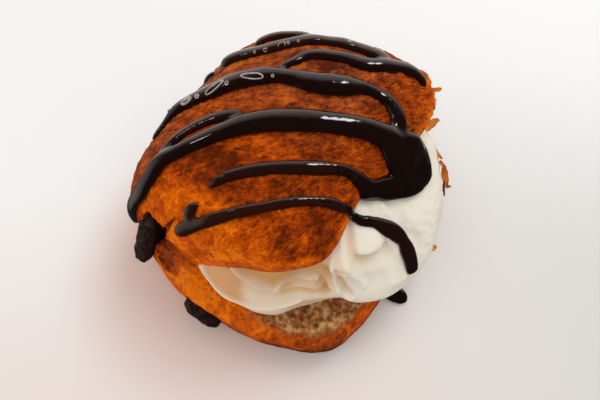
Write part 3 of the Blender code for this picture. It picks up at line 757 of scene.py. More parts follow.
def crust_look(sizes):
    """Browned laminated crust with a painted sheen at its back, and torn and cut crumb where it is open, with painted
    shade deep in the crumb's pores.
    """
    look = Look("browned_crust")
    place = look.place()
    grain = look.attribute("grain", "Vector")
    bake, open_crumb = look.attribute("bake"), look.attribute("crumb")
    clouds = look.noise(place, 150, 3, 0.55, 0.3)
    mottle = look.noise(place, 330, 2.5, 0.55, 0.6)
    flecks = look.noise(look.slanted(grain, (0.50, 0.90, 1)), 0.6, 2, 0.5, 0.8)
    fine = look.noise(look.slanted(grain, (0.9, 1.3, 1)), 0.8, 1, 0.5, 0.4)
    wander = look.node("TexNoise", None, {"Vector": place, "Scale": 700, "Detail": 2.0}, output="Color")
    bent = look.vector_math("ADD", {
        0: look.slanted(grain, (0.42, 0.95, 1)), 1: look.vector_math("SCALE", {0: wander, "Scale": 1.6})})
    leaf = look.parts(look.node("TexVoronoi", None, {"Vector": bent, "Scale": 1.0}, output="Color"))[0]
    spots = look.noise(place, 560, 2, 0.5, 0.3)
    lid = look.attribute("brushed")
    brushed = (flecks - 0.5) * 1.0 + (fine - 0.5) * 0.7 + (leaf - 0.5) * 0.24
    level = 0.28 + 0.70 * (bake + (clouds - 0.5) * (1.5 - lid * 0.75) + (mottle - 0.5) * 1.15 + brushed * lid
                           + (spots - 0.5) * 1.3 * (1 - lid))
    crust = look.ramp(level, (
        (0.06, sizes.pale), (0.28, sizes.golden), (0.52, sizes.orange), (0.76, sizes.brown), (0.99, sizes.dark)))
    # painted sheen: the duller red colours are mixed over the crust where the sheen is painted
    ruddy = look.ramp(level, ((0.28, sizes.painted_sheen_pale), (0.58, sizes.ruddy), (0.88, sizes.painted_sheen_dark)))
    crust = look.mix(look.attribute("ruddy"), crust, ruddy)
    pores = look.node("TexVoronoi", {"feature": "F1"}, {"Vector": place, "Scale": 620}, output="Distance")
    crumb_mottle = look.noise(place, 480, 4, 0.65)
    # the crumb is painted darker near the middle of each pore, a painted shade in the pits that the bump makes
    crumb = look.ramp(crumb_mottle + (pores - 0.35) * 0.3 + (clouds - 0.5) * 0.5, (
        (0.30, sizes.crumb_pore_shade), (0.42, sizes.crumb_brown), (0.56, sizes.crumb), (0.76, sizes.crumb_pale)))
    skin = look.bump((fine * 0.9 + flecks * 1.3 + leaf * 0.45) * lid + spots * (1 - lid) + mottle * 1.3, 0.0009, 1.0)
    holes = look.bump(pores.least(0.5) * 1.2 + crumb_mottle * 0.6, 0.0006, 0.9)
    return look.finish(
        Base_Color=look.mix(open_crumb, crust, crumb),
        Roughness=0.52 + (mottle - 0.5) * 0.25 + open_crumb * 0.25,
        Normal=look.node("Mix", {"data_type": "VECTOR"}, {0: open_crumb, 4: skin, 5: holes}, output=1),
        Specular_IOR_Level=0.03,
    )


def cream_look(sizes):
    """Whipped cream, with painted warm bounce light and shade beside the crust, painted shade in its deep hollow and
    folds, and paler crests.
    """
    look = Look("whipped_cream")
    place = look.place()
    brush = look.noise(look.stretched(look.attribute("grain", "Vector"), (0.50, 0.16, 1)), 1.0, 3, 0.6, 0.6)
    froth = look.noise(place, 900, 3, 0.6)
    warm = look.attribute("warm") + (look.noise(place, 130, 2, 0.5) - 0.5) * 0.3
    cream_colour = look.mix(warm.most(0).least(1), tuple(sizes.white), tuple(sizes.warm))
    return look.finish(
        Base_Color=look.mix(look.attribute("hollow"), cream_colour, tuple(sizes.hollow)),
        Roughness=0.42 + froth * 0.14,
        Normal=look.bump(brush * 0.6 + froth * 0.25, 0.0004, 0.5),
        Subsurface_Weight=0.30,
        Subsurface_Radius=(1.0, 0.72, 0.42),
        Subsurface_Scale=0.0012,
        Specular_IOR_Level=0.30,
    )


def sauce_look(sizes):
    """Glossy chocolate sauce, redder where it lies thin."""
    look = Look("chocolate_sauce")
    place = look.place()
    streaks = look.noise(place, 110, 2, 0.5)
    ripple = look.noise(place, 240, 2, 0.5)
    body = look.mix(look.attribute("thin") * (0.55 + streaks * 0.7), tuple(sizes.thick), tuple(sizes.thin))
    return look.finish(
        Base_Color=body,
        Roughness=0.05 + streaks * 0.08,
        Normal=look.bump(ripple, 0.0004, 0.08),
        Specular_IOR_Level=0.5,
    )


def bubble_look(sizes):
    """The glossy rims of the sauce's bubbles, painted pale as a painted highlight glinting on them."""
    look = Look("bubble_rims")
    shine = look.noise(look.place(), 900, 2, 0.5)
    return look.finish(
        Base_Color=look.mix(shine, tuple(sizes.thin), tuple(sizes.rim_glint)),
        Roughness=0.10 + shine * 0.1,
        Specular_IOR_Level=0.6,
    )


def chocolate_look(sizes):
    """Chocolate that was baked: dull, lumpy and rubbed paler in places."""
    look = Look("baked_chocolate")
    place = look.place()
    lumps = look.noise(place, 420, 4, 0.65)
    grit = look.noise(place, 1500, 3, 0.6)
    rubbed = look.noise(place, 430, 3, 0.6).between(0.50, 0.64)
    return look.finish(
        Base_Color=look.mix(rubbed * 0.8, tuple(sizes.dark), tuple(sizes.bloom)),
        Roughness=0.22 + lumps * 0.25,
        Normal=look.bump(lumps + grit * 0.3, 0.0022, 1.0),
        Specular_IOR_Level=0.38,
    )


def flake_look(sizes):
    """Thin flakes of browned crust."""
    look = Look("crust_flakes")
    place = look.place()
    mottle = look.noise(place, 620, 3, 0.6)
    return look.finish(
        Base_Color=look.ramp(look.attribute("bake") + (mottle - 0.5) * 0.9, (
            (0.05, sizes.flake_pale), (0.40, sizes.flake_golden), (0.75, sizes.flake_brown), (1.0, sizes.dark))),
        Roughness=0.45 + mottle * 0.2,
        Normal=look.bump(look.noise(place, 1400, 3, 0.6), 0.0003, 0.8),
        Specular_IOR_Level=0.2,
    )


# ---------------------------------------------------------------- pieces

def layer_edge(p):
    """Where along the roll the edge of the lid's outer layer lies, at places round it."""
    first, second = LAYER_ROUND
    return spline(LAYER_EDGE, (p - first) / (second - first))[..., 0]


def baked(p, e):
    """How brown the crust is at places on the slab, from pale below 0 to dark at 1."""
    level = np.full(p.shape, BAKED_LEVEL)
    for p0, e0, p_size, e_size, amount in BROWNING:
        level += amount * np.exp(-((p - p0) / p_size) ** 2 - ((e - e0) / e_size) ** 2)
    under_layer = smooth_step(0.0, -0.10, e - layer_edge(p)) * smooth_step(0.16, 0.26, p) * smooth_step(0.66, 0.52, p)
    base = smooth_step(0.10, -0.15, p)
    # painted light: the base at the near end is painted much paler, lifting the shade that it lies in
    front = base * smooth_step(-0.35, -0.85, e) * smooth_step(-0.75, -0.35, p)
    return level - 0.34 * under_layer - 0.10 * base + 0.10 * smooth_step(-0.50, -0.75, p) - 0.58 * front


class PASTRY_OT_crust(bpy.types.Operator):
    """Make the folded, torn and browned pastry"""
    bl_idname = "pastry.crust"
    bl_label = "Crust"

    def execute(self, context):
        sizes = context.scene.crust_sizes
        data, read = self.sheet(sizes)
        self.relieve(data, read, sizes)
        finder = finder_of([vertex.co for vertex in data.vertices])
        data = combine(data, "DIFFERENCE", [baton_mesh(*baton, grow=BATON_GAP) for baton in BATONS])
        data = combine(data, "DIFFERENCE", [tear_mesh(*tear) for tear in TEARS])
        data = without_flaps(combine(data, "DIFFERENCE", [crack_mesh()]))
        self.brown(data, read, finder)
        new_piece("pastry_crust", data, crust_look(sizes), stands_for=("pastry",))
        return {"FINISHED"}

    @staticmethod
    def sheet(sizes):
        """The smooth slab, and each vertex's place round it, along it and out to its rim, and if it is cut face."""
        p, e, reach = slab_places(sizes.round_faces, sizes.along_faces)
        rows, columns = p.shape
        crust, cut = slab(p, e, True, reach), slab(p, e, False, reach)
        faces = grid_faces(rows, columns)
        data = bpy.data.meshes.new("pastry_crust")
        data.from_pydata(np.concatenate([crust.reshape(-1, 3), cut.reshape(-1, 3)]).tolist(), [],
                         np.concatenate([faces, faces[:, ::-1] + rows * columns]).tolist())
        # the places are kept as attributes, which outlast the merging of the rim
        read = {"p": np.tile(p.ravel(), 2), "e": np.tile(e.ravel(), 2), "reach": np.tile(reach.ravel(), 2),
                "cut": np.repeat((0.0, 1.0), p.size)}
        for name, values in read.items():
            paint(data, name, values)
        tidy_mesh(data)
        for name in read:
            read[name] = np.empty(len(data.vertices))
            data.attributes[name].data.foreach_get("value", read[name])
            data.attributes.remove(data.attributes[name])
        return data, read

    @staticmethod
    def relieve(data, read, sizes):
        """Push out wrinkles, crags and the edge of the lid's outer layer, and open the crumb's pores."""
        edge_at = layer_edge(read["p"])
        under_layer = (smooth_step(0.20, 0.27, read["p"]) * smooth_step(0.64, 0.55, read["p"])
                       * smooth_step(-0.99, -0.93, read["e"]))

        def relief(n, place):
            height = crust_relief(place, sizes.crag)
            if read["cut"][n] > 0.5:
                distance, _ = noise.voronoi(place / 2.1)
                pore = max(0.0, 0.42 - distance[0]) / 0.42
                depth = sizes.pore * min(1.0, (1 - read["reach"][n]) * 12)
                return height - depth * pore + 0.25 * depth * noise.noise(place / 0.9)
            lift = min(1.0, max(0.0, place.z / 3))
            along, across = read["e"][n] * CRUST_UNIT[1], read["p"][n] * CRUST_UNIT[0]
            wrinkle = Vector(((along + across) / 2.0, (along - across) / 5.0, 0))
            fine = noise.noise(wrinkle) + 0.6 * noise.noise(wrinkle * 2.1 + Vector((5, 1, 3)))
            fine *= float(smooth_step(1.0, 0.93, read["reach"][n]))
            ragged = along + 1.1 * noise.noise(place / 2.2)
            step = under_layer[n] * float(smooth_step(0.0, -0.7, ragged - CRUST_UNIT[1] * edge_at[n]))
            fibre = torn_corner(place) * noise.noise(Vector((along / 1.1, across / 4.5, 0)))
            return (height + sizes.fibre * fibre
                    + lift * (sizes.wrinkle * fine - sizes.layer * step + 0.12 * noise.noise(place / 1.6)))

        push_out(data, relief)

    @staticmethod
    def brown(data, read, finder):
        """Keep how brown, how much painted sheen, how brushed and how much crumb each vertex of the cut crust is."""
        found = [finder.find(vertex.co)[1:] for vertex in data.vertices]
        nearest, away = np.array([n for n, _ in found]), np.array([distance for _, distance in found]) / MM
        p, e, rim, cut = (read[name][nearest] for name in ("p", "e", "reach", "cut"))
        places = vertex_arrays(data)[0]
        bake = baked(p, e)
        crumb = cut * smooth_step(-0.97, -0.82, e) * np.where(
            p < 0.2, smooth_step(0.97, 0.91, rim) * smooth_step(-0.50, -0.60, p), smooth_step(0.985, 0.93, rim))

        # the base: a golden band inside its rim, browner at the front and at its foot
        base = p < 0.1
        golden = base * cut * smooth_step(0.80, 0.93, rim)
        front = smooth_step(-0.05, -0.45, p) * smooth_step(-0.60, -0.85, e)
        foot = (smooth_step(0.011, 0.002, places[:, 2]) * smooth_step(-0.5, -0.8, e)
                * smooth_step(-0.25, -0.60, p))
        bake += base * (0.16 * front + 0.62 * foot) - 0.22 * golden
        crumb = np.maximum(crumb, 0.08 * golden)

        # the lid: paler inside its near end and at its lip
        near_end = ~base & (e < -0.85) & (cut > 0)
        lip = ~base & ~near_end & (p > 0.5)
        bake -= 0.30 * near_end + 0.45 * lip * smooth_step(0.955, 0.99, rim)

        torn = away > TORN_DEPTH
        pocket = torn & (np.linalg.norm(places - to_world(np.array(TEARS[1][0])), axis=1) < POCKET_RADIUS * MM)
        # painted sheen, towards the far end and in a band low on the lid, less near the lip and none at the near end
        ruddy = 0.55 * smooth_step(-0.45, 0.35, e) + 0.55 * smooth_step(0.34, 0.22, p) * smooth_step(0.0, 0.1, p)
        ruddy *= (1 - 0.75 * smooth_step(0.62, 0.80, p)) * smooth_step(-0.96, -0.85, e)
        paint(data, "bake", np.select([pocket, torn], [0.58, 0.80], bake))
        paint(data, "crumb", np.select([pocket, torn], [0.14, 0.0], crumb))
        paint(data, "ruddy", ruddy)
        paint(data, "brushed", smooth_step(-0.15, 0.0, p) * smooth_step(0.995, 0.95, rim))
        paint(data, "grain", np.stack([e * CRUST_UNIT[1], p * CRUST_UNIT[0], away], -1), "FLOAT_VECTOR")


class PASTRY_OT_cream(bpy.types.Operator):
    """Make the whipped cream, folded and brushed"""
    bl_idname = "pastry.cream"
    bl_label = "Whipped cream"

    def execute(self, context):
        sizes = context.scene.cream_sizes
        even = np.arange(sizes.round_faces) / sizes.round_faces
        turn = even - 0.11 * np.sin(2 * math.pi * (even - 0.1))
        height, turn = np.meshgrid(np.linspace(0, 1, sizes.up_faces + 1), turn, indexing="ij")
        data = tube(cream(height, turn))
        heights, turns = height.ravel(), turn.ravel()

        def relief(n, place):
            lumps = rough(place, CREAM_LUMPS)
            if n >= len(heights):
                return lumps
            brushed = Vector((heights[n] * CREAM_UNIT[0] / 5.0, turns[n] * CREAM_UNIT[1] / 2.6, 0))
            right = smooth_step(0.14, 0.02, (turns[n] + 0.5) % 1 - 0.5)
            return lumps + (0.03 + 0.10 * right) * noise.noise(brushed) + 0.22 * right * noise.noise(place / 1.8)

        push_out(data, relief)
        warm, hollow = self.shades(heights, turns)
        grain = np.stack([turns * CREAM_UNIT[1], heights * CREAM_UNIT[0], 0 * turns], -1)
        rest = len(data.vertices) - len(heights)  # the middles of the two ends
        paint(data, "grain", np.pad(grain, ((0, rest), (0, 0))), "FLOAT_VECTOR")
        paint(data, "warm", np.pad(warm, (0, rest)))
        paint(data, "hollow", np.pad(hollow, (0, rest)))
        new_piece("whipped_cream_fill", data, cream_look(sizes), stands_for=("whipped_cream",))
        return {"FINISHED"}

    @staticmethod
    def shades(heights, turns):
        """Painted light on the cream: how much painted warm bounce and shade it has beside the crust, and how much
        painted shade lies in its hollows; both are lessened on the crests.
        """
        side = (turns + 0.5) % 1 - 0.5
        deep = distance_to(FOLDS[0][2], heights, turns)
        # painted shade along the deep hollow under the lid and in the other hollows; the ridges' crests are painted lit
        shade, painted_crest_light = 0.9 * np.exp(-(deep / 3.6) ** 2), np.zeros(heights.shape)
        for depth, width, stops in FOLDS[1:]:
            near = np.exp(-(distance_to(stops, heights, turns) / width) ** 2)
            shade += 0.60 * near * (depth > 0)
            painted_crest_light = np.maximum(painted_crest_light, near * (depth < 0))
        # the left face is painted warm for its shade and the crust's bounce light; the recess under the lid is painted
        # shade
        face = smooth_step(0.262, 0.285, side + (0.57 - heights) * 0.05) * smooth_step(0.32, 0.37, heights)
        under_lid_shade = smooth_step(0.575, 0.605, heights) * smooth_step(0.298, 0.285, side) * smooth_step(0.212, 0.228, side)
        shade = np.maximum(shade, 0.95 * under_lid_shade) * (1 - 0.9 * painted_crest_light)
        # painted warm bounce light beside the crust and on the left face, less on the lit crests
        warm = 0.30 * smooth_step(0.12, 0.25, side) + 0.85 * face + 0.25 * np.exp(-(deep / 6) ** 2)
        return warm * (1 - 0.6 * painted_crest_light), np.clip(shade, 0, 1) * smooth_step(0.02, 0.20, side)


def surface_frame(surface, u, v):
    """Points of a surface and their outward normals."""
    step = 1e-3
    middle = surface(u, v)
    normal = np.cross(surface(u + step, v) - surface(u - step, v), surface(u, v + step) - surface(u, v - step))
    normal /= np.linalg.norm(normal, axis=1)[:, None]
    outward = middle - np.array((0.0, 0.0, 0.022))
    normal *= np.sign((normal * outward).sum(1))[:, None]
    return middle, normal


def strand_rows(middle, normal, width, sizes, seed, free=(True, True)):
    """The lines of beads that fill a strand, as points and radii. Free ends are rounded off."""
    across, half, high = strand_section(middle, normal, width, sizes, seed, free)
    bead = np.minimum(sizes.bead, high * 0.8)
    count = max(3, int(math.ceil(width.max() * MM / sizes.bead * 2.2)))
    rows = []
    for place in np.linspace(-1, 1, count):
        offset = place * (half - bead * 0.7)
        top = high * np.maximum(1 - abs(offset / half) ** 2.4, 0) ** 0.5
        rows.append((middle + across * offset[:, None] + normal * (top - bead)[:, None], bead))
    return rows


def strand_section(middle, normal, width, sizes, seed, free=(True, True)):
    """Directions across a strand, and its half width and height, along it."""
    ahead = np.gradient(middle, axis=0)
    across = np.cross(ahead, normal)
    across /= np.linalg.norm(across, axis=1)[:, None]
    run = np.concatenate([[0], np.cumsum(np.linalg.norm(np.diff(middle, axis=0), axis=1))]) / MM
    wobble = np.array([noise.noise(Vector((s / 5.5, seed * 7.3, 0))) for s in run])
    half = (width / 2 + sizes.fill) * MM * (1 + 0.12 * wobble)
    to_end = np.minimum(run if free[0] else run + 9, run[-1] - run if free[1] else run + 9)
    half *= np.minimum(1, 0.60 + 0.40 * to_end / 2.0)
    high = np.minimum(2 * half * sizes.rise, sizes.most) * (1 + 0.10 * np.roll(wobble, 3))
    return across, half, high


def smooth_line(points, count):
    """Evenly spread places along a spline through points."""
    fine = spline(points, np.linspace(0, 1, 12 * len(points)))
    run = np.concatenate([[0], np.cumsum(np.linalg.norm(np.diff(fine[:, :3], axis=0), axis=1))])
    return np.stack([np.interp(np.linspace(0, run[-1], count), run, column) for column in fine.T], -1)


def sauce_nodes(sizes):
    """Geometry Nodes that fill lines with beads and merge the beads into one smooth body of sauce."""
    tree = bpy.data.node_groups.new("sauce_from_lines", "GeometryNodeTree")
    sockets = {}
    for name, kind, default in (
            ("Lines", "NodeSocketGeometry", None), ("Bead step", "NodeSocketFloat", sizes.step),
            ("Voxel", "NodeSocketFloat", sizes.voxel), ("Smoothing", "NodeSocketInt", 12),
            ("Sauce", "NodeSocketMaterial", None)):
        sockets[name] = tree.interface.new_socket(name, in_out="INPUT", socket_type=kind)
        if default is not None:
            sockets[name].default_value = default
    tree.interface.new_socket("Sauce body", in_out="OUTPUT", socket_type="NodeSocketGeometry")
    start, end = tree.nodes.new("NodeGroupInput"), tree.nodes.new("NodeGroupOutput")
    nodes = Nodes(tree, "GeometryNode")
    given = {name: Value(nodes, start.outputs[name]) for name in sockets}
    thickness = nodes.node("InputNamedAttribute", {"data_type": "FLOAT"}, {"Name": "thickness"}, output="Attribute")
    curves = nodes.node("MeshToCurve", None, {"Mesh": given["Lines"]}, output="Curve")
    points = nodes.node("CurveToPoints", {"mode": "LENGTH"},
                        {"Curve": curves, "Length": given["Bead step"]}, output="Points")
    volume = nodes.node("PointsToVolume", {"resolution_mode": "VOXEL_SIZE"},
                        {"Points": points, "Voxel Size": given["Voxel"], "Radius": thickness}, output="Volume")
    body = nodes.node("VolumeToMesh", {"resolution_mode": "GRID"}, {"Volume": volume, "Threshold": 0.1}, output="Mesh")
    blurred = nodes.node("BlurAttribute", {"data_type": "FLOAT_VECTOR"}, {
        "Value": nodes.node("InputPosition", output="Position"), "Iterations": given["Smoothing"]})
    moved = nodes.node("SetPosition", None, {"Geometry": body, "Position": blurred}, output="Geometry")
    solid = nodes.node("RealizeInstances", None, {"Geometry": moved}, output="Geometry")
    done = nodes.node("SetMaterial", None, {"Geometry": solid, "Material": given["Sauce"]}, output="Geometry")
    nodes.plug(end.inputs[0], done)
    return tree, {name: socket.identifier for name, socket in sockets.items()}


class PASTRY_OT_sauce(bpy.types.Operator):
    """Make the chocolate sauce that runs over the crust and down the cream"""
    bl_idname = "pastry.sauce"
    bl_label = "Sauce"

    def execute(self, context):
        sizes = context.scene.sauce_sizes
        lines, laid = self.strands(sizes)
        lines += self.over_the_lip(sizes, laid) + self.drop()
        look = sauce_look(sizes)
        body = self.merged(lines, look, sizes)
        places, _ = vertex_arrays(body)
        places[:, 2] = np.maximum(places[:, 2], 0)
        body.vertices.foreach_set("co", places.ravel())
        finder = finder_of(np.concatenate([line for line, _, _ in lines]))
        owner = np.repeat([thin for _, _, thin in lines], [len(line) for line, _, _ in lines])
        paint(body, "thin", [float(owner[finder.find(place)[1]]) for place in places])
        new_piece("chocolate_sauce", body, look, stands_for=("pastry", "whipped_cream"))
        self.bubbles(sizes, laid)
        return {"FINISHED"}

    @staticmethod
    def strands(sizes):
        """Lines of beads for every strand, as points, radii and how thin it lies, and where each strand runs."""
        lines, laid = [], {}
        running_on = {upper for upper, *_ in OVER_THE_LIP}
        for kind, (surface, table, unit, layers) in enumerate((
                (slab, STRANDS, CRUST_UNIT, BUMPS), (cream, CREAM_STRANDS, CREAM_UNIT, CREAM_LUMPS))):
            for number, stops in enumerate(table):
                stops = np.array(stops)
                places = smooth_line(np.concatenate([stops[:, :2] * unit, stops[:, 2:]], 1), STRAND_PLACES)
                middle, normal = surface_frame(surface, places[:, 0] / unit[0], places[:, 1] / unit[1])
                middle = middle + normal * np.array([rough(Vector(q / MM), layers) for q in middle])[:, None] * MM
                laid[kind, number] = (middle, normal, places[:, 2])
                free = (kind == 0, kind == 0 and number not in running_on)
                thin = THIN.get(number, THICK) if kind == 0 else 0.25 * number
                for line, bead in strand_rows(middle, normal, places[:, 2], sizes, number + 20 * kind, free):
                    lines.append((line, bead, thin))
        return lines, laid

    @staticmethod
    def over_the_lip(sizes, laid):
        """Lines of beads where strands run over the lip, from the end of an upper one into a lower one."""
        lines = []
        for upper, lower, e, landing, way in OVER_THE_LIP:
            first = int(landing * (STRAND_PLACES - 1))
            above = [part[-12::3] for part in laid[0, upper]]
            below = [part[first:first + 10 * way:3 * way] for part in laid[1, lower]]
            lip = surface_frame(slab, np.array((0.975, 0.998)), np.full(2, e))
            wide = np.linspace(above[2][-1], below[2][0], 4)[1:3]
            path = np.concatenate([np.concatenate([above[0], lip[0], below[0]]) / MM,
                                   np.concatenate([above[1], lip[1], below[1]]) * 10,
                                   np.concatenate([above[2], wide, below[2]])[:, None]], 1)
            path = smooth_line(path, 40)
            normal = path[:, 3:6] / np.linalg.norm(path[:, 3:6], axis=1)[:, None]
            for line, bead in strand_rows(path[:, :3] * MM, normal, path[:, 6], sizes, 50 + upper, (False, False)):
                lines.append((line, bead, THICK))
        return lines

    @staticmethod
    def drop():
        """Rings of beads that fill the drop at the foot."""
        along, across, half_along, half_across, tall = DROP
        turn = np.linspace(0, 2 * math.pi, 12)
        lines = []
        for level in np.linspace(0.1, 0.92, 6):
            size = (1 - level) ** 0.55
            ring = np.stack([
                along + (half_along * size - 0.7) * np.cos(turn), across + (half_across * size - 0.7) * np.sin(turn),
                np.full(len(turn), level * tall)], -1)
            lines.append((to_world(ring), np.full(len(turn), (0.8 * (1 - level) + 0.35) * MM), THICK))
        return lines

    @staticmethod
    def merged(lines, look, sizes):
        """One body of sauce from lines of beads."""
        edges, at = [], 0
        for line, _, _ in lines:
            edges += [(n, n + 1) for n in range(at, at + len(line) - 1)]
            at += len(line)
        data = bpy.data.meshes.new("sauce_lines")
        data.from_pydata(np.concatenate([line for line, _, _ in lines]).tolist(), edges, [])
        paint(data, "thickness", np.concatenate([np.broadcast_to(radii, len(line)) for line, radii, _ in lines]))
        guide = bpy.data.objects.new("sauce_lines", data)
        bpy.context.scene.collection.objects.link(guide)
        tree, names = sauce_nodes(sizes)
        change = guide.modifiers.new("sauce", "NODES")
        change.node_group = tree
        change[names["Sauce"]] = look
        depsgraph = bpy.context.evaluated_depsgraph_get()
        body = bpy.data.meshes.new_from_object(guide.evaluated_get(depsgraph))
        guide.modifiers.remove(change)
        bpy.data.objects.remove(guide)
        if not len(body.polygons):
            raise RuntimeError("the sauce came out empty")
        return tidy_mesh(body)

    @staticmethod
    def bubbles(sizes, laid):
        """Lay the rims of burst bubbles along the strands."""
        vertices, faces, steps, sides = [], [], 72, 8
        turn = np.linspace(0, 2 * math.pi, steps, endpoint=False)
        round_rim = np.arange(sides) * 2 * math.pi / sides
        i, j = np.meshgrid(np.arange(steps), np.arange(sides), indexing="ij")
        next_i, next_j = (i + 1) % steps, (j + 1) % sides
        ring_faces = np.stack([i * sides + j, next_i * sides + j, next_i * sides + next_j, i * sides + next_j], -1)
        ring_faces = ring_faces.reshape(-1, 4)
        for number, at, side, half_along, half_across, lean, thick in BUBBLES:
            middle, normal, width = laid[0, number]
            fine = spline(np.array(STRANDS[number]), np.linspace(0, 1, 200))
            passed = fine[np.argmin(abs(fine[:, 0] - at)), :2]
            n = int(np.argmin(np.linalg.norm(middle - slab(passed[:1], passed[1:]), axis=1)))
            across, half, high = strand_section(middle, normal, width, sizes, number)
            a, b, lean = half_along * np.cos(turn), half_across * np.sin(turn), math.radians(lean)
            run = n + (a * math.cos(lean) - b * math.sin(lean)) * MM / np.linalg.norm(middle[n] - middle[n - 1])
            offset = side * half[n] + (a * math.sin(lean) + b * math.cos(lean)) * MM
            low = np.clip(run.astype(int), 0, STRAND_PLACES - 2)
            part = (run - low)[:, None]
            wide, tall, up, over, below = (values[low] * (1 - part) + values[low + 1] * part for values in (
                half[:, None], high[:, None], normal, across, middle))
            top = tall * np.maximum(1 - abs(offset[:, None] / wide) ** 2.4, 0.05) ** 0.5
            path = below + over * offset[:, None] + up * (top + BUBBLE_LIFT * MM)
            ahead = np.roll(path, -1, 0) - np.roll(path, 1, 0)
            ahead /= np.linalg.norm(ahead, axis=1)[:, None]
            outward = np.cross(ahead, up)
            rim = path[:, None] + thick * MM * (
                outward[:, None] * np.cos(round_rim)[:, None] + up[:, None] * np.sin(round_rim)[:, None])
            faces += (ring_faces + len(vertices)).tolist()
            vertices += rim.reshape(-1, 3).tolist()
        new_piece("sauce_bubbles", new_mesh("bubbles", vertices, faces), bubble_look(sizes))


class PASTRY_OT_batons(bpy.types.Operator):
    """Make the two baked chocolate bars"""
    bl_idname = "pastry.batons"
    bl_label = "Chocolate bars"

    def execute(self, context):
        look = chocolate_look(context.scene.chocolate_sizes)
        for number, baton in enumerate(BATONS, 1):
            data = baton_mesh(*baton, sides=64, cuts=220, even=True)
            push_out(data, lambda n, place: rough(place, BATON_RELIEF) - 0.22)
            new_piece(f"baked_baton_{number}", data, look, stands_for=(f"chocolate_baton_{number}",))
        return {"FINISHED"}


def flake_mesh(middle, length, width, heading, brown, number):
    """A thin ragged curling flake, lying back so that its face looks up and outwards."""
    mesh = bmesh.new()
    steps, sides = 12, 5
    heading = math.radians(heading)
    ahead = Vector((math.cos(heading), math.sin(heading) * 0.91, math.sin(heading) * 0.42))
    face = Vector((0.15, -0.42, 0.90))
    side = face.cross(ahead).normalized()
    face = ahead.cross(side)
    layers = []
    for level in (0.5, -0.5):
        rows = []
        for i in range(steps + 1):
            t = i / steps
            taper = math.sin(math.pi * (0.10 + 0.84 * t)) ** 0.7
            row = []
            for j in range(sides + 1):
                w = j / sides - 0.5
                ragged = 1 + 0.45 * noise.noise(Vector((t * 6, w * 3, number * 5.1)))
                bend = 0.35 * length * ((t - 0.5) ** 2 - 0.1) + 0.25 * width * (w * w * 4)
                lumps = 0.18 * noise.noise(Vector((t * 9, w * 5, number * 3.3 + level)))
                place = (ahead * (length * (t - 0.5)) + side * (width * w * taper * ragged)
                         + face * (bend + level * FLAKE_THICK + lumps))
                row.append(mesh.verts.new((Vector(middle) + place) * MM))
            rows.append(row)
        layers.append(rows)
    top, bottom = layers
    for i in range(steps):
        for j in range(sides):
            mesh.faces.new((top[i][j], top[i][j + 1], top[i + 1][j + 1], top[i + 1][j]))
            mesh.faces.new((bottom[i][j], bottom[i + 1][j], bottom[i + 1][j + 1], bottom[i][j + 1]))
        for j in (0, sides):
            ring = (top[i][j], top[i + 1][j], bottom[i + 1][j], bottom[i][j])
            mesh.faces.new(ring if j == 0 else ring[::-1])
    for i in (0, steps):
        for j in range(sides):
            ring = (top[i][j], bottom[i][j], bottom[i][j + 1], top[i][j + 1])
            mesh.faces.new(ring if i == 0 else ring[::-1])
    data = finished(mesh, "flake")
    paint(data, "bake", [brown] * len(data.vertices))
    return data


class PASTRY_OT_flakes(bpy.types.Operator):
    """Make the loose flakes of crust beside the cream"""
    bl_idname = "pastry.flakes"
    bl_label = "Flakes"

    def execute(self, context):
        look = flake_look(context.scene.crust_sizes)
        for number, flake in enumerate(FLAKES, 1):
            new_piece(f"crust_flake_{number}", flake_mesh(*flake, number), look)
        return {"FINISHED"}


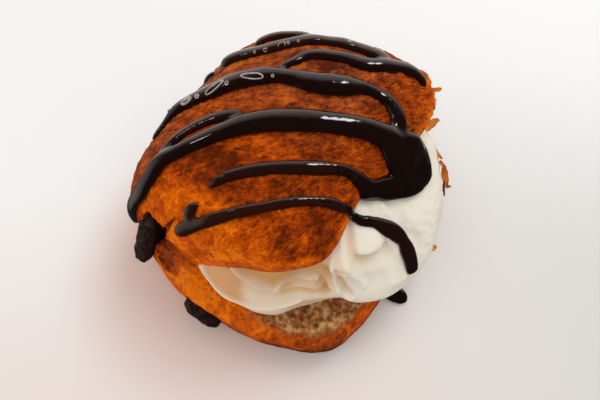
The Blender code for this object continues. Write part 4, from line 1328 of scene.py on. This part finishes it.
class PASTRY_OT_stage(bpy.types.Operator):
    """Make the floor, the lights and the camera"""
    bl_idname = "pastry.stage"
    bl_label = "Stage"

    def execute(self, context):
        sizes, scene = context.scene.stage_sizes, context.scene
        data = bpy.data.meshes.new("floor")
        data.from_pydata([(x, y, -0.0003) for x, y in ((-3, -3), (3, -3), (3, 3), (-3, 3))], [], [(0, 1, 2, 3)])
        floor = bpy.data.objects.new("floor", data)
        scene.collection.objects.link(floor)
        look = Look("pale_floor")
        place = look.place()
        to_right, to_far, _ = look.parts(place)
        # painted light: the floor is painted darker and warmer towards the camera, darker at the near right, and with a
        # warm shadow beside the pastry's near left
        shade = look.mix(to_far.between(0.02, -0.09), tuple(sizes.floor), tuple(sizes.floor_near_shade))
        shade = look.mix(to_right.between(0.0, 0.11) * to_far.between(0.08, -0.05), shade, tuple(sizes.floor_right_shade))
        away = look.vector_math("DISTANCE", {0: place, 1: (-0.030, -0.024, 0)}, output="Value")
        shade = look.mix(away.between(0.056, 0.026) * 0.8, shade, tuple(sizes.floor_warm_shadow))
        data.materials.append(look.finish(Base_Color=shade, Roughness=0.45, Specular_IOR_Level=0.1))
        floor.visible_glossy = False
        self.light_all_round(scene, sizes)

        def lamp(name, direction, away, power, wide, tall, shade, glossy):
            light = bpy.data.lights.new(name, "AREA")
            light.shape, light.size, light.size_y = "RECTANGLE", wide, tall
            light.energy, light.color = power, shade
            made = bpy.data.objects.new(name, light)
            scene.collection.objects.link(made)
            made.location = Vector(direction).normalized() * away + Vector((0, 0, 0.03))
            made.rotation_euler = (Vector((0, 0, 0.03)) - made.location).to_track_quat("-Z", "Y").to_euler()
            made.visible_glossy, made.visible_diffuse = glossy, not glossy
        lamp("key", (0.38, 0.42, 0.85), 0.7, sizes.key, 0.36, 0.36, (1.0, 0.985, 0.96), False)
        lamp("fill", (-0.75, -0.35, 0.50), 0.7, sizes.fill, 0.5, 0.5, (1.0, 0.94, 0.87), False)
        lamp("window", (0.32, 0.50, 0.80), 0.6, 0.75, 0.085, 0.16, (0.96, 0.98, 1.0), True)
        lamp("lamp", (-0.55, 0.30, 0.75), 0.6, 0.12, 0.05, 0.05, (1.0, 0.85, 0.80), True)

        lens = bpy.data.cameras.new("camera")
        camera = bpy.data.objects.new("camera", lens)
        scene.collection.objects.link(camera)
        lens.sensor_width, lens.lens, lens.clip_start = 36, sizes.lens, 0.005
        camera.location = (0, -sizes.distance * math.cos(sizes.elevation), sizes.distance * math.sin(sizes.elevation))
        camera.rotation_euler = (math.pi / 2 - sizes.elevation, 0, 0)
        scene.camera = camera
        scene.view_settings.view_transform = "Standard"
        return {"FINISHED"}

    @staticmethod
    def light_all_round(scene, sizes):
        """A soft even world, whose reflections are dark in front and overhead and bright behind and at the left."""
        world = bpy.data.worlds.new("soft_studio")
        scene.world = world
        world.use_nodes = True
        nodes = Nodes(world.node_tree)
        to_right, to_far, _ = nodes.parts(nodes.node("TexCoord"))
        behind = to_far.between(0.36, 0.92) * sizes.sky
        left = to_right.between(-0.66, -1.0) * (sizes.sky * 0.6)
        glossy = nodes.mix(1.0, behind.most(left) + 0.05, (1.0, 0.88, 0.82), blend="MULTIPLY")
        even = (sizes.world, sizes.world * 0.99, sizes.world * 0.98)
        seen = nodes.mix(nodes.node("LightPath", output="Is Glossy Ray"), even, glossy)
        nodes.plug(world.node_tree.nodes["Background"].inputs["Color"], seen)


class PASTRY_PT_panel(bpy.types.Panel):
    """Lists the pastry's pieces"""
    bl_idname = "PASTRY_PT_panel"
    bl_label = "Pain au chocolat"
    bl_space_type = "VIEW_3D"
    bl_region_type = "UI"
    bl_category = "Pastry"

    def draw(self, context):
        for maker in OPERATORS:
            self.layout.operator(maker.bl_idname)


GROUPS = {
    "crust_sizes": CrustSizes, "cream_sizes": CreamSizes, "sauce_sizes": SauceSizes,
    "chocolate_sizes": ChocolateSizes, "stage_sizes": StageSizes,
}
OPERATORS = (PASTRY_OT_stage, PASTRY_OT_crust, PASTRY_OT_cream, PASTRY_OT_batons, PASTRY_OT_sauce, PASTRY_OT_flakes)


def register():
    for made in (*GROUPS.values(), *OPERATORS, PASTRY_PT_panel):
        bpy.utils.register_class(made)
    for name, group in GROUPS.items():
        setattr(bpy.types.Scene, name, bpy.props.PointerProperty(type=group))


def unregister():
    for name in GROUPS:
        delattr(bpy.types.Scene, name)
    for made in reversed((*GROUPS.values(), *OPERATORS, PASTRY_PT_panel)):
        bpy.utils.unregister_class(made)


def main():
    register()
    for operator in (bpy.ops.pastry.stage, bpy.ops.pastry.crust, bpy.ops.pastry.cream, bpy.ops.pastry.batons,
                     bpy.ops.pastry.sauce, bpy.ops.pastry.flakes):
        operator()


if __name__ == "__main__":
    main()
